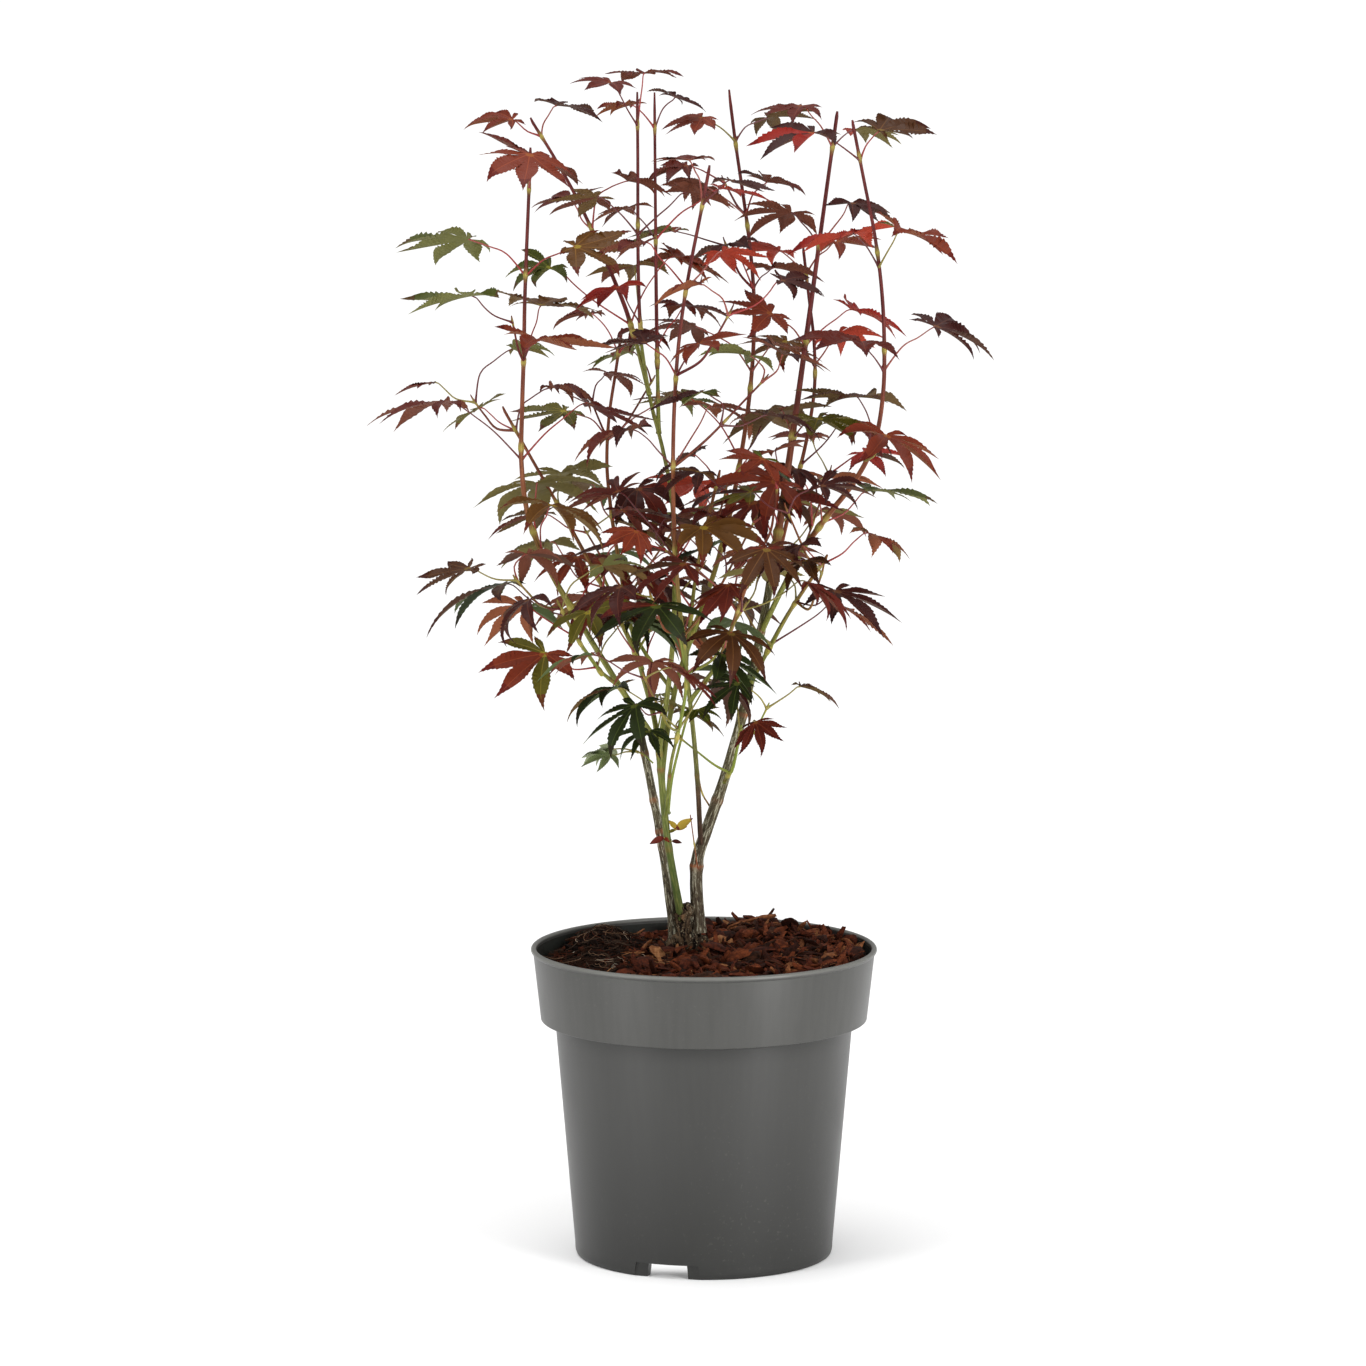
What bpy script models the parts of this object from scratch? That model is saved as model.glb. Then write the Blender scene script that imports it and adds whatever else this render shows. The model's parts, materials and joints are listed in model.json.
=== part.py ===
"""A young Japanese maple in a round nursery pot, in metres, +Z up.

The origin is the middle of the pot's flat underside. The pot is filled with soil under a heap of
bark. A clump of stems stands on the soil and forks into boughs. Each bough ends in a shoot that
bears leaves in opposite pairs: a shoot, its leaf stalks and its leaves are fused into one solid.
"""

import math
import random
from typing import NamedTuple

import bmesh
import bpy
from mathutils import Matrix, Vector
from mathutils.bvhtree import BVHTree

MM = 0.001
GAP = 0.3 * MM  # between neighbouring solids

# Pot: a 19 cm nursery pot with a deep collar and three drain arches.
POT_STEPS = 40
RIM_Z = 169.4 * MM
RIM_RADIUS = 95 * MM
BEAD_RADIUS = 1.5 * MM
BEAD_STEPS = 6
COLLAR_TOP_RADIUS = 93.6 * MM
COLLAR_BOTTOM_RADIUS = 89.6 * MM
COLLAR_BOTTOM_Z = 131 * MM
BODY_TOP_RADIUS = 81.7 * MM
BODY_TOP_Z = 129.5 * MM
BASE_RADIUS = 70.8 * MM
BASE_ROUND = 2.5 * MM
WALL = 1.8 * MM
FLOOR_TOP_Z = 11 * MM
ARCHES = 3
FIRST_ARCH_TURN = -107
ARCH_WIDTH = 40 * MM
ARCH_TOP_SHARE = 0.88  # an arch narrows towards its top
ARCH_HEIGHT = 8 * MM
ARCH_RECESS = 3.4 * MM
TUNNEL_WIDTH = 24.5 * MM  # the narrower opening at the back of an arch's recess
ARCH_DEPTH = 34 * MM
DRAIN_HOLE_RADIUS = 5 * MM
CUT_PAST = 10 * MM  # how far a cutter stands out of the pot
SHARP_ANGLE = 35

# Soil and bark: level under the stems, lower at the left, heaped at the right.
FILL_STEPS = 28
FILL_RINGS = 4
SOIL_Z = 160 * MM
SOIL_FLARE = 1.6 * MM  # how much wider the soil is at its top than at the foot of the collar
FLAT_RADIUS = 26 * MM
SOIL_TILT = 0.05
BARK_THICKNESS = 6 * MM
BARK_FLARE = 1 * MM
BARK_TILT = 0.07
BARK_BUMP = 1.3 * MM
BARK_BUMP_X = 9 * MM
BARK_BUMP_Y = 7 * MM
BARK_BUMP_SKEW = 23 * MM
BARK_HOLE_RADIUS = 19 * MM

# Root crown: the swollen foot that the stems rise from.
CROWN_AT = Vector((-8, 14, 0)) * MM
CROWN_STEPS = 20
CROWN_RADIUS = 14.5 * MM
CROWN_HEIGHT = 27 * MM
CROWN_RINGS = 6
CROWN_SQUEEZE = 0.8  # depth against width
CROWN_TAPER = 0.25
ROOT_RIDGES = 5
RIDGE_DEPTH = 0.16

# Limbs.
LIMB_SPACING = 26 * MM
CLOSEST_POINT = 0.3  # of the spacing: a limb's points nearer than this to a cut are dropped
LIMB_SIDES = 6
STALK_SIDES = 4
TAPER = 1.5  # 1 for a straight taper

# Leaves: seven pointed lobes that fall away from the leaf's middle.
LOBE_TURNS = (-118, -78, -39, 0, 39, 78, 118)
LOBE_REACHES = (0.40, 0.76, 0.94, 1.0, 0.94, 0.76, 0.40)
SMALLEST_WIDE_LOBE = 0.5
NOTCH_REACH = 0.27
SHOULDER_SHARE = 0.5
SHOULDER_TURN = 12
HEEL_REACH = 0.05
LEAF_FALL = 0.2
HALF_THICKNESS = 0.5 * MM
TEST_HALF_THICKNESS = 1.0 * MM
STALK_FOOT = 1.3 * MM
STALK_TIP = 0.7 * MM
STALK_CLEARANCE = 1.6 * MM
STALK_TESTS = 24
SHARED_STALK = 0.3  # the foot of a stalk, where it may touch its own shoot's leaves

# How leaves stand on a shoot. Turns are in degrees.
FIRST_PAIR = 0.06
LAST_PAIR = 0.93
TURN_PER_PAIR = 90
TURN_SPREAD = 22
SIZE_SPREAD = 0.12
SHORTEST_STALK = 24 * MM
LONGEST_STALK = 52 * MM
FOOT_STALK_SHARE = 1.15  # stalk length at the shoot's foot, against the lengths above
STALK_SHRINK = 0.4  # how much shorter it is at the tip
BEND_SHARE = 0.45  # a stalk first leaves its shoot at half a right angle, for this share
LEAST_LIFT = 0.3
MOST_LIFT = 0.9
MOST_FALL = 22
TOP_FALL_Z = 500 * MM
MORE_FALL_BELOW = 100  # degrees a metre: the lower a leaf, the more it hangs
MOST_ROLL = 24
LEAF_TRIES = 16
LOWEST_LEAF_Z = 200 * MM


class Stem(NamedTuple):
    """A limb with no leaves of its own. Points and diameters are in millimetres."""

    name: str
    parent: str
    at: float  # where it leaves its parent's bare length, from 0 at the foot to 1 at the tip
    points: tuple  # that it runs through after its foot, as (x, y, z)
    foot: float
    tip: float


class Leader(NamedTuple):
    """A limb that is a bare bough up to bough_share of its length, and a leafy shoot from there."""

    name: str
    parent: str
    at: float
    points: tuple
    foot: float
    tip: float
    bough_share: float
    pairs: int
    turn: float  # of the lowest pair of leaves about the shoot, in degrees
    low_leaf: float  # length of the middle lobe in the lowest pair, in millimetres
    top_leaf: float
    seed: int


LEFT_FOOT = (-16, 15, 172)
GREEN_FOOT = (-11, 10, 178)
RIGHT_FOOT = (-3, 14, 176)
STEMS = (
    Stem("left_stem", "root_crown", 0, (LEFT_FOOT, (-23, 14, 225), (-36, 22, 292)), 5.4, 4.2),
    Stem("green_stem", "root_crown", 0, (GREEN_FOOT, (-20, 2, 230), (-25, -2, 286)), 4.4, 3.8),
)
LEADERS = (
    Leader("right", "root_crown", 0,
           (RIGHT_FOOT, (-4, 15, 213), (18, 20, 284), (40, 34, 390), (73, 65, 622)),
           7.5, 1.8, 0.46, 5, 40, 42, 34, 1),
    Leader("left", "green_stem", 0.97, ((-57, -10, 334), (-95, -20, 410), (-97, -24, 500), (-93, -30, 606)),
           3.6, 1.6, 0.22, 6, 5, 50, 44, 6),
    Leader("inner_left", "green_stem", 0.9, ((-33, 12, 320), (-62, 36, 377), (-110, 60, 460)),
           3.2, 1.5, 0.25, 4, 60, 38, 32, 3),
    Leader("middle", "green_stem", 0.95, ((-17, -4, 340), (-18, 4, 420), (-34, 12, 500), (-36, -10, 629)),
           3.2, 1.5, 0.64, 3, 80, 34, 28, 4),
    Leader("middle_left", "middle", 0.79, ((-43, 22, 520), (-71, 45, 581), (-94, 60, 619)),
           2.6, 1.5, 0.2, 3, 30, 36, 30, 5),
    Leader("middle_right", "middle", 0.7, ((-26, 24, 520), (-27, 46, 626)),
           2.4, 1.4, 0.25, 3, 50, 34, 26, 6),
    Leader("back", "green_stem", 0.8, ((-15, 10, 315), (14, 50, 402), (28, 76, 511), (15, 95, 627)),
           3.2, 1.6, 0.2, 7, 45, 40, 32, 7),
    Leader("front", "right", 0.18, ((-5, -12, 282), (-16, -50, 400), (-14, -68, 505), (2, -85, 599)),
           3.0, 1.6, 0.34, 6, 40, 40, 32, 8),
    Leader("outer_right", "right", 0.81, ((55, 14, 390), (92, -14, 450), (95, -26, 533), (79, -40, 621)),
           3.2, 1.6, 0.22, 5, 35, 44, 40, 9),
    Leader("low_right", "right", 0.66, ((45, -5, 354), (65, -38, 389)),
           2.6, 1.6, 0.25, 3, 40, 40, 34, 10),
    Leader("low_front", "front", 0.72, ((7, -42, 332), (29, -75, 399)),
           2.6, 1.6, 0.25, 3, 90, 38, 34, 11),
    Leader("low_left", "left", 0.43, ((-60, -30, 330), (-78, -52, 366)),
           2.2, 1.5, 0.25, 3, 30, 44, 38, 12),
    Leader("low_back", "back", 0.6, ((-34, 34, 330), (-58, 62, 372)),
           2.2, 1.5, 0.25, 3, 60, 42, 36, 18),
    Leader("low_middle", "front", 0.9, ((-4, -12, 380), (8, 4, 430)),
           2.2, 1.5, 0.25, 3, 20, 36, 32, 13),
    Leader("small_front", "green_stem", 0.6, ((-18, -20, 275), (-10, -42, 318), (-14, -62, 356)),
           2.2, 1.5, 0.45, 3, 50, 38, 42, 14),
    Leader("foot_right", "right", 0.38, ((16, 4, 270), (20, -8, 292)),
           2.2, 1.4, 0.3, 2, 20, 33, 30, 15),
    Leader("rear_left", "inner_left", 0.66, ((-42, 45, 350), (-54, 88, 430), (-46, 104, 500)),
           2.6, 1.5, 0.25, 4, 40, 38, 32, 16),
    Leader("rear_right", "right", 0.73, ((44, 60, 390), (62, 98, 470), (56, 110, 545)),
           2.6, 1.5, 0.25, 4, 50, 38, 32, 17),
)


def in_metres(points):
    return [Vector(point) * MM for point in points]


def new_material(name, colour, roughness):
    made = bpy.data.materials.new(name)
    made.use_nodes = True
    shader = made.node_tree.nodes["Principled BSDF"]
    shader.inputs["Base Color"].default_value = (*colour, 1)
    shader.inputs["Roughness"].default_value = roughness
    shader.inputs["Metallic"].default_value = 0
    return made


def add_object(name, data, group, material=None):
    made = bpy.data.objects.new(name, data)
    group.objects.link(made)
    if material:
        data.materials.append(material)
    return made


def hide_cutter(cutter):
    cutter.hide_render = True
    cutter.display_type = "WIRE"


def apply_modifiers(shape):
    """Gives the object its evaluated mesh, with no modifier left."""
    evaluated = shape.evaluated_get(bpy.context.evaluated_depsgraph_get())
    made = bpy.data.meshes.new_from_object(evaluated)
    shape.modifiers.clear()
    shape.data = made


def boolean(shape, operation, other, solver="EXACT"):
    """A Boolean with one object, or with all those of a collection."""
    cut = shape.modifiers.new(operation.lower(), "BOOLEAN")
    cut.operation = operation
    cut.solver = solver
    if isinstance(other, bpy.types.Collection):
        cut.operand_type = "COLLECTION"
        cut.collection = other
    else:
        cut.object = other
    return cut


# ---- Pot, soil and bark ----


def turned(name, profile, steps, group, material=None):
    """The solid that a profile of (radius, height) makes about the Z axis."""
    outline = bpy.data.meshes.new(name)
    edges = [(i, i + 1) for i in range(len(profile) - 1)]
    if min(profile[0][0], profile[-1][0]) > 0:
        edges.append((len(profile) - 1, 0))
    outline.from_pydata([(radius, 0, z) for radius, z in profile], edges, [])
    made = add_object(name, outline, group)
    screw = made.modifiers.new("turn", "SCREW")
    screw.steps = steps
    screw.render_steps = steps
    screw.use_merge_vertices = True
    screw.merge_threshold = 0.00001
    apply_modifiers(made)
    if material:
        made.data.materials.append(material)
    return made


def body_radius(z):
    """The pot's outer radius below its collar."""
    share = (z - BASE_ROUND) / (BODY_TOP_Z - BASE_ROUND)
    return BASE_RADIUS + (BODY_TOP_RADIUS - BASE_RADIUS) * share


def rim_bead():
    """The round lip, from inside over the top to outside."""
    middle = RIM_RADIUS - BEAD_RADIUS
    for step in range(BEAD_STEPS + 1):
        turn = math.pi * (1.1 - 1.35 * step / BEAD_STEPS)
        yield middle + BEAD_RADIUS * math.cos(turn), RIM_Z + BEAD_RADIUS * math.sin(turn)


def pot_profile():
    """Up the inside from the floor's middle, over the bead, down the outside and back under."""
    inside = (
        (0, FLOOR_TOP_Z),
        (body_radius(FLOOR_TOP_Z) - WALL, FLOOR_TOP_Z),
        (BODY_TOP_RADIUS - WALL, BODY_TOP_Z + WALL),
        (COLLAR_BOTTOM_RADIUS - WALL, COLLAR_BOTTOM_Z + WALL),
    )
    outside = (
        (COLLAR_TOP_RADIUS, RIM_Z - 2.2 * BEAD_RADIUS),
        (COLLAR_BOTTOM_RADIUS, COLLAR_BOTTOM_Z),
        (BODY_TOP_RADIUS, BODY_TOP_Z),
        (body_radius(BASE_ROUND), BASE_ROUND),
        (BASE_RADIUS - BASE_ROUND, 0),
        (0, 0),
    )
    return (*inside, *rim_bead(), *outside)


def arch_cutter(turn, full_width, depth, group):
    """A block, narrower at its top, that cuts a drain arch's recess or tunnel into the pot's foot."""
    shape = bmesh.new()
    bmesh.ops.create_cube(shape, size=1)
    for vertex in shape.verts:
        width = full_width * (ARCH_TOP_SHARE if vertex.co.z > 0 else 1)
        z = ARCH_HEIGHT if vertex.co.z > 0 else -ARCH_HEIGHT
        reach = BASE_RADIUS + CUT_PAST if vertex.co.x > 0 else BASE_RADIUS - depth
        vertex.co = (reach, width * vertex.co.y, z)
    bmesh.ops.transform(shape, matrix=Matrix.Rotation(math.radians(turn), 4, "Z"), verts=shape.verts)
    mesh = bpy.data.meshes.new("drain_arch")
    shape.to_mesh(mesh)
    shape.free()
    return add_object("drain_arch", mesh, group)


def drain_hole_cutter(turn, group):
    shape = bmesh.new()
    radius = DRAIN_HOLE_RADIUS
    bmesh.ops.create_cone(
        shape, cap_ends=True, segments=12, radius1=radius, radius2=radius, depth=2 * CUT_PAST
    )
    place = Matrix.Rotation(math.radians(turn), 4, "Z") @ Matrix.Translation(
        (BASE_RADIUS - ARCH_DEPTH + 2 * radius, 0, FLOOR_TOP_Z)
    )
    bmesh.ops.transform(shape, matrix=place, verts=shape.verts)
    mesh = bpy.data.meshes.new("drain_hole")
    shape.to_mesh(mesh)
    shape.free()
    return add_object("drain_hole", mesh, group)


def make_pot(parts, cutters):
    plastic = new_material("grey_plastic", (0.12, 0.12, 0.12), 0.45)
    pot = turned("pot", pot_profile(), POT_STEPS, parts, plastic)
    for index in range(ARCHES):
        turn = FIRST_ARCH_TURN + 360 / ARCHES * index
        for cutter in (
            arch_cutter(turn, ARCH_WIDTH, ARCH_RECESS, cutters),
            arch_cutter(turn, TUNNEL_WIDTH, ARCH_DEPTH, cutters),
            drain_hole_cutter(turn, cutters),
        ):
            hide_cutter(cutter)
            boolean(pot, "DIFFERENCE", cutter)
    pot.data.shade_smooth()
    pot.data.set_sharp_from_angle(angle=math.radians(SHARP_ANGLE))


def beyond_flat(x, y):
    """How far a place on the soil lies outside the level patch under the stems."""
    return max(0, math.hypot(x - CROWN_AT.x, y - CROWN_AT.y) - FLAT_RADIUS)


def soil_top(x, y):
    lean = x / RIM_RADIUS
    return SOIL_Z + SOIL_TILT * lean * beyond_flat(x, y)


def bark_top(x, y):
    bump = math.sin(x / BARK_BUMP_X) * math.cos(y / BARK_BUMP_Y + x / BARK_BUMP_SKEW)
    lean = x / RIM_RADIUS
    return SOIL_Z + BARK_THICKNESS + BARK_TILT * lean * beyond_flat(x, y) + BARK_BUMP * bump


def make_soil(parts):
    inner = COLLAR_BOTTOM_RADIUS - WALL - GAP
    low = FLOOR_TOP_Z + GAP
    top = [(inner + SOIL_FLARE) * (1 - ring / FILL_RINGS) for ring in range(FILL_RINGS + 1)]
    profile = [(radius, SOIL_Z) for radius in reversed(top)]
    profile += [
        (inner, COLLAR_BOTTOM_Z + WALL + GAP),
        (BODY_TOP_RADIUS - WALL - GAP, BODY_TOP_Z + WALL + GAP),
        (body_radius(low) - WALL - GAP, low),
        (0, low),
    ]
    dark = new_material("dark_soil", (0.03, 0.02, 0.015), 0.95)
    soil = turned("soil", profile, FILL_STEPS, parts, dark)
    for vertex in soil.data.vertices:
        if vertex.co.z > SOIL_Z - GAP:
            vertex.co.z = soil_top(vertex.co.x, vertex.co.y)


def make_bark(parts):
    """A loose layer on the soil, open round the root crown."""
    outer = COLLAR_BOTTOM_RADIUS - WALL + BARK_FLARE
    step = (outer - BARK_HOLE_RADIUS) / FILL_RINGS
    radii = [BARK_HOLE_RADIUS + step * ring for ring in range(FILL_RINGS + 1)]
    top = [(radius, SOIL_Z + BARK_THICKNESS) for radius in radii]
    profile = [*top, *((radius, SOIL_Z) for radius in reversed(radii))]
    brown = new_material("bark", (0.11, 0.03, 0.015), 0.9)
    bark = turned("bark_mulch", profile, FILL_STEPS, parts, brown)
    for vertex in bark.data.vertices:
        radius = math.hypot(vertex.co.x, vertex.co.y)
        near = (outer - radius) / (outer - BARK_HOLE_RADIUS)
        is_top = vertex.co.z > SOIL_Z + GAP
        vertex.co.x += near * CROWN_AT.x
        vertex.co.y += near * CROWN_AT.y
        if is_top:
            vertex.co.z = bark_top(vertex.co.x, vertex.co.y)
        else:
            vertex.co.z = soil_top(vertex.co.x, vertex.co.y) + GAP


# ---- Limbs ----


def make_root_crown(parts, material):
    """A squat dome with ridges where the roots spread, cut flat where it stands on the soil."""
    profile = []
    for ring in range(CROWN_RINGS + 1):
        rise = ring / CROWN_RINGS
        radius = CROWN_RADIUS * (1 - CROWN_TAPER * math.sqrt(rise)) * math.sqrt(1 - rise**3)
        profile.append((radius, CROWN_HEIGHT * rise))
    profile = [*reversed(profile), (0, 0)]
    crown = turned("root_crown", profile, CROWN_STEPS, parts, material)
    for vertex in crown.data.vertices:
        turn = math.atan2(vertex.co.y, vertex.co.x)
        spread = 1 + RIDGE_DEPTH * math.cos(ROOT_RIDGES * turn) * (1 - vertex.co.z / CROWN_HEIGHT)
        vertex.co.x *= spread
        vertex.co.y *= spread * CROWN_SQUEEZE
        vertex.co += CROWN_AT + Vector((0, 0, SOIL_Z + GAP))
    return crown


def smooth_run(points, spacing):
    """A smooth path through the points, with a point about every spacing."""
    ends = [2 * points[0] - points[1], *points, 2 * points[-1] - points[-2]]
    path = []
    for before, start, end, after in zip(ends, ends[1:], ends[2:], ends[3:]):
        count = max(1, round((end - start).length / spacing))
        for step in range(count):
            t = step / count
            path.append(
                0.5
                * (
                    2 * start
                    + (end - before) * t
                    + (2 * before - 5 * start + 4 * end - after) * t**2
                    + (3 * start - before - 3 * end + after) * t**3
                )
            )
    return [*path, points[-1].copy()]


class Limb:
    """A tapering path: its points and the radius at each."""

    def __init__(self, points, foot=0, tip=0):
        self.points = points
        steps = len(points) - 1
        self.radii = [(tip + (foot - tip) * (1 - i / steps) ** TAPER) / 2 for i in range(steps + 1)]

    def at(self, share):
        """The place, direction and radius at a share of the limb."""
        where = min(max(share, 0), 1) * (len(self.points) - 1)
        i = min(int(where), len(self.points) - 2)
        along = self.points[i + 1] - self.points[i]
        radius = self.radii[i] + (self.radii[i + 1] - self.radii[i]) * (where - i)
        return self.points[i] + along * (where - i), along.normalized(), radius

    def part(self, start, end, gap=0):
        """The stretch between two shares of the limb, its foot moved up by a gap."""
        steps = len(self.points) - 1
        first = self.at(start)
        last = self.at(end)
        low = start * steps + CLOSEST_POINT
        high = end * steps - CLOSEST_POINT
        inner = [i for i in range(steps + 1) if low < i < high]
        made = Limb([first[0] + first[1] * gap, *(self.points[i] for i in inner), last[0]])
        made.radii = [first[2], *(self.radii[i] for i in inner), last[2]]
        return made

    def widened(self, gap):
        """The same limb, a gap wider all round and a gap longer."""
        made = Limb([*self.points, self.points[-1] + self.at(1)[1] * gap])
        made.radii = [radius + gap for radius in (*self.radii, self.radii[-1])]
        return made


def tube_curve(limb, sides):
    curve = bpy.data.curves.new("tube", "CURVE")
    curve.dimensions = "3D"
    curve.bevel_depth = 1
    curve.bevel_resolution = sides // 2 - 2
    curve.use_fill_caps = True
    run = curve.splines.new("POLY")
    run.points.add(len(limb.points) - 1)
    for spot, place, radius in zip(run.points, limb.points, limb.radii):
        spot.co = (*place, 1)
        spot.radius = radius
    return curve


def tube(name, limb, group, material=None, sides=LIMB_SIDES):
    """A closed mesh along a limb."""
    curve = tube_curve(limb, sides)
    guide = bpy.data.objects.new("guide", curve)
    bpy.context.scene.collection.objects.link(guide)
    evaluated = guide.evaluated_get(bpy.context.evaluated_depsgraph_get())
    mesh = bpy.data.meshes.new_from_object(evaluated)
    bpy.data.objects.remove(guide)
    bpy.data.curves.remove(curve)
    shape = bmesh.new()
    shape.from_mesh(mesh)
    bmesh.ops.remove_doubles(shape, verts=shape.verts, dist=0.01 * MM)
    bmesh.ops.recalc_face_normals(shape, faces=shape.faces)
    shape.to_mesh(mesh)
    shape.free()
    mesh.shade_smooth()
    mesh.name = name
    return add_object(name, mesh, group, material)


def bounding_ball(corners):
    """The middle of some points and the reach of the furthest."""
    middle = sum(corners, Vector()) / len(corners)
    return middle, max((corner - middle).length for corner in corners)


def search_tree(mesh):
    return BVHTree.FromPolygons([v.co for v in mesh.vertices], [p.vertices for p in mesh.polygons])


class Neighbours:
    """The surfaces that a new leaf has to keep clear of."""

    def __init__(self):
        self.known = []

    def add(self, shape, owner, is_limb=True):
        ball = bounding_ball([v.co for v in shape.data.vertices])
        self.known.append((owner, is_limb, *ball, search_tree(shape.data)))

    def near_ball(self, middle, reach):
        for owner, is_limb, other_middle, other_reach, tree in self.known:
            if (other_middle - middle).length < other_reach + reach:
                yield owner, is_limb, tree

    def meet(self, blade):
        tree = BVHTree.FromBMesh(blade)
        ball = bounding_ball([v.co for v in blade.verts])
        return any(tree.overlap(other) for _, _, other in self.near_ball(*ball))

    def are_near(self, places, owner, counting_own_leaves):
        """Whether one of the places is close to any surface but the owner's shoot."""
        middle, reach = bounding_ball(places)
        return any(
            tree.find_nearest(place, STALK_CLEARANCE)[0]
            for other_owner, is_limb, tree in self.near_ball(middle, reach + STALK_CLEARANCE)
            if other_owner != owner or (counting_own_leaves and not is_limb)
            for place in places
        )


def cut_clear(shape, others, cutters):
    """Takes the others, a gap wider all round, out of a limb and keeps its largest piece."""
    for other in others:
        hide_cutter(other)
        boolean(shape, "DIFFERENCE", other)
    apply_modifiers(shape)
    keep_largest(shape.data)


def keep_largest(mesh):
    shape = bmesh.new()
    shape.from_mesh(mesh)
    pieces = []
    left = set(shape.verts)
    while left:
        piece = []
        queue = [left.pop()]
        while queue:
            vertex = queue.pop()
            piece.append(vertex)
            for edge in vertex.link_edges:
                other = edge.other_vert(vertex)
                if other in left:
                    left.remove(other)
                    queue.append(other)
        pieces.append(piece)
    pieces.sort(key=len)
    for piece in pieces[:-1]:
        bmesh.ops.delete(shape, geom=piece, context="VERTS")
    shape.to_mesh(mesh)
    shape.free()


# ---- Leaves ----


def blade_outline():
    """Turn and reach of the places round a leaf of unit length."""
    places = []
    for index, (turn, reach) in enumerate(zip(LOBE_TURNS, LOBE_REACHES)):
        if index:
            places.append(((turn + LOBE_TURNS[index - 1]) / 2, NOTCH_REACH))
        if reach < SMALLEST_WIDE_LOBE:
            places.append((turn, reach))
            continue
        shoulder = SHOULDER_SHARE * reach
        places += [(turn - SHOULDER_TURN, shoulder), (turn, reach), (turn + SHOULDER_TURN, shoulder)]
    return [*places, (180, HEEL_REACH)]


def blade_shape(length, half_thickness, place):
    """A lobed blade, thickest in its middle and sharp all round."""
    outline = blade_outline()
    shape = bmesh.new()
    bmesh.ops.create_uvsphere(shape, u_segments=len(outline), v_segments=2, radius=1)
    rim = [v for v in shape.verts if abs(v.co.z) < 0.5]
    for pole in (v for v in shape.verts if abs(v.co.z) > 0.5):
        pole.co = (0, 0, math.copysign(half_thickness, pole.co.z))
    rim.sort(key=lambda v: math.atan2(v.co.y, v.co.x))
    for vertex, (turn, reach) in zip(rim, outline):
        angle = math.radians(turn)
        vertex.co = Vector((math.cos(angle), math.sin(angle), -LEAF_FALL * reach)) * reach * length
    bmesh.ops.transform(shape, matrix=place, verts=shape.verts)
    return shape


class Leaf(NamedTuple):
    stalk: Limb
    place: Matrix
    length: float


def try_leaf(shoot, share, turn, length, rng):
    """A leaf on its stalk: out and up from the shoot, then over towards level."""
    node, along, _ = shoot.at(share)
    angle = math.radians(turn + rng.uniform(-1, 1) * TURN_SPREAD)
    out = Vector((math.cos(angle), math.sin(angle), 0))
    across = (out - along * out.dot(along)).normalized()
    reach = rng.uniform(SHORTEST_STALK, LONGEST_STALK) * (FOOT_STALK_SHARE - STALK_SHRINK * share)
    lift = rng.uniform(LEAST_LIFT, MOST_LIFT)
    bend = node + (across + along).normalized() * BEND_SHARE * reach
    middle = bend + (out + Vector((0, 0, lift))).normalized() * (1 - BEND_SHARE) * reach
    fall = math.radians(rng.uniform(0, MOST_FALL) + MORE_FALL_BELOW * max(0, TOP_FALL_Z - middle.z))
    roll = math.radians(rng.uniform(-MOST_ROLL, MOST_ROLL))
    forward = out * math.cos(fall) - Vector((0, 0, math.sin(fall)))
    left = Vector((0, 0, 1)).cross(out)
    left = Matrix.Rotation(roll, 3, forward) @ left
    up = forward.cross(left)
    place = Matrix((forward, left, up)).transposed().to_4x4()
    place.translation = middle
    stalk = Limb([node, bend, middle], STALK_FOOT, STALK_TIP)
    return Leaf(stalk, place, length)


def grow_leaves(leader, shoot, neighbours, group):
    """Opposite pairs, each turned a quarter from the one below. A leaf with no room is left out."""
    rng = random.Random(leader.seed)
    for pair in range(leader.pairs):
        rise = pair / max(1, leader.pairs - 1)
        share = FIRST_PAIR + (LAST_PAIR - FIRST_PAIR) * rise
        size = (leader.low_leaf + (leader.top_leaf - leader.low_leaf) * rise) * MM
        for side in (0, 180):
            turn = leader.turn + TURN_PER_PAIR * pair + side
            for _ in range(LEAF_TRIES):
                length = size * rng.uniform(1 - SIZE_SPREAD, 1 + SIZE_SPREAD)
                leaf = try_leaf(shoot, share, turn, length, rng)
                if has_room(leaf, leader.name, neighbours):
                    add_leaf(leaf, leader.name, neighbours, group)
                    break


def has_room(leaf, owner, neighbours):
    places = [leaf.stalk.at(i / STALK_TESTS)[0] for i in range(STALK_TESTS + 1)]
    shared = round(STALK_TESTS * SHARED_STALK)
    if neighbours.are_near(places[:shared], owner, counting_own_leaves=False):
        return False
    if neighbours.are_near(places[shared:], owner, counting_own_leaves=True):
        return False
    blade = blade_shape(leaf.length, TEST_HALF_THICKNESS, leaf.place)
    is_low = min(v.co.z for v in blade.verts) < LOWEST_LEAF_Z
    met = is_low or neighbours.meet(blade)
    blade.free()
    return not met


def add_leaf(leaf, owner, neighbours, group):
    stalk = tube("stalk", leaf.stalk, group, sides=STALK_SIDES)
    shape = blade_shape(leaf.length, HALF_THICKNESS, leaf.place)
    mesh = bpy.data.meshes.new("blade")
    shape.to_mesh(mesh)
    shape.free()
    blade = add_object("blade", mesh, group)
    neighbours.add(stalk, owner, is_limb=False)
    neighbours.add(blade, owner, is_limb=False)


# ---- The whole plant ----


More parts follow.
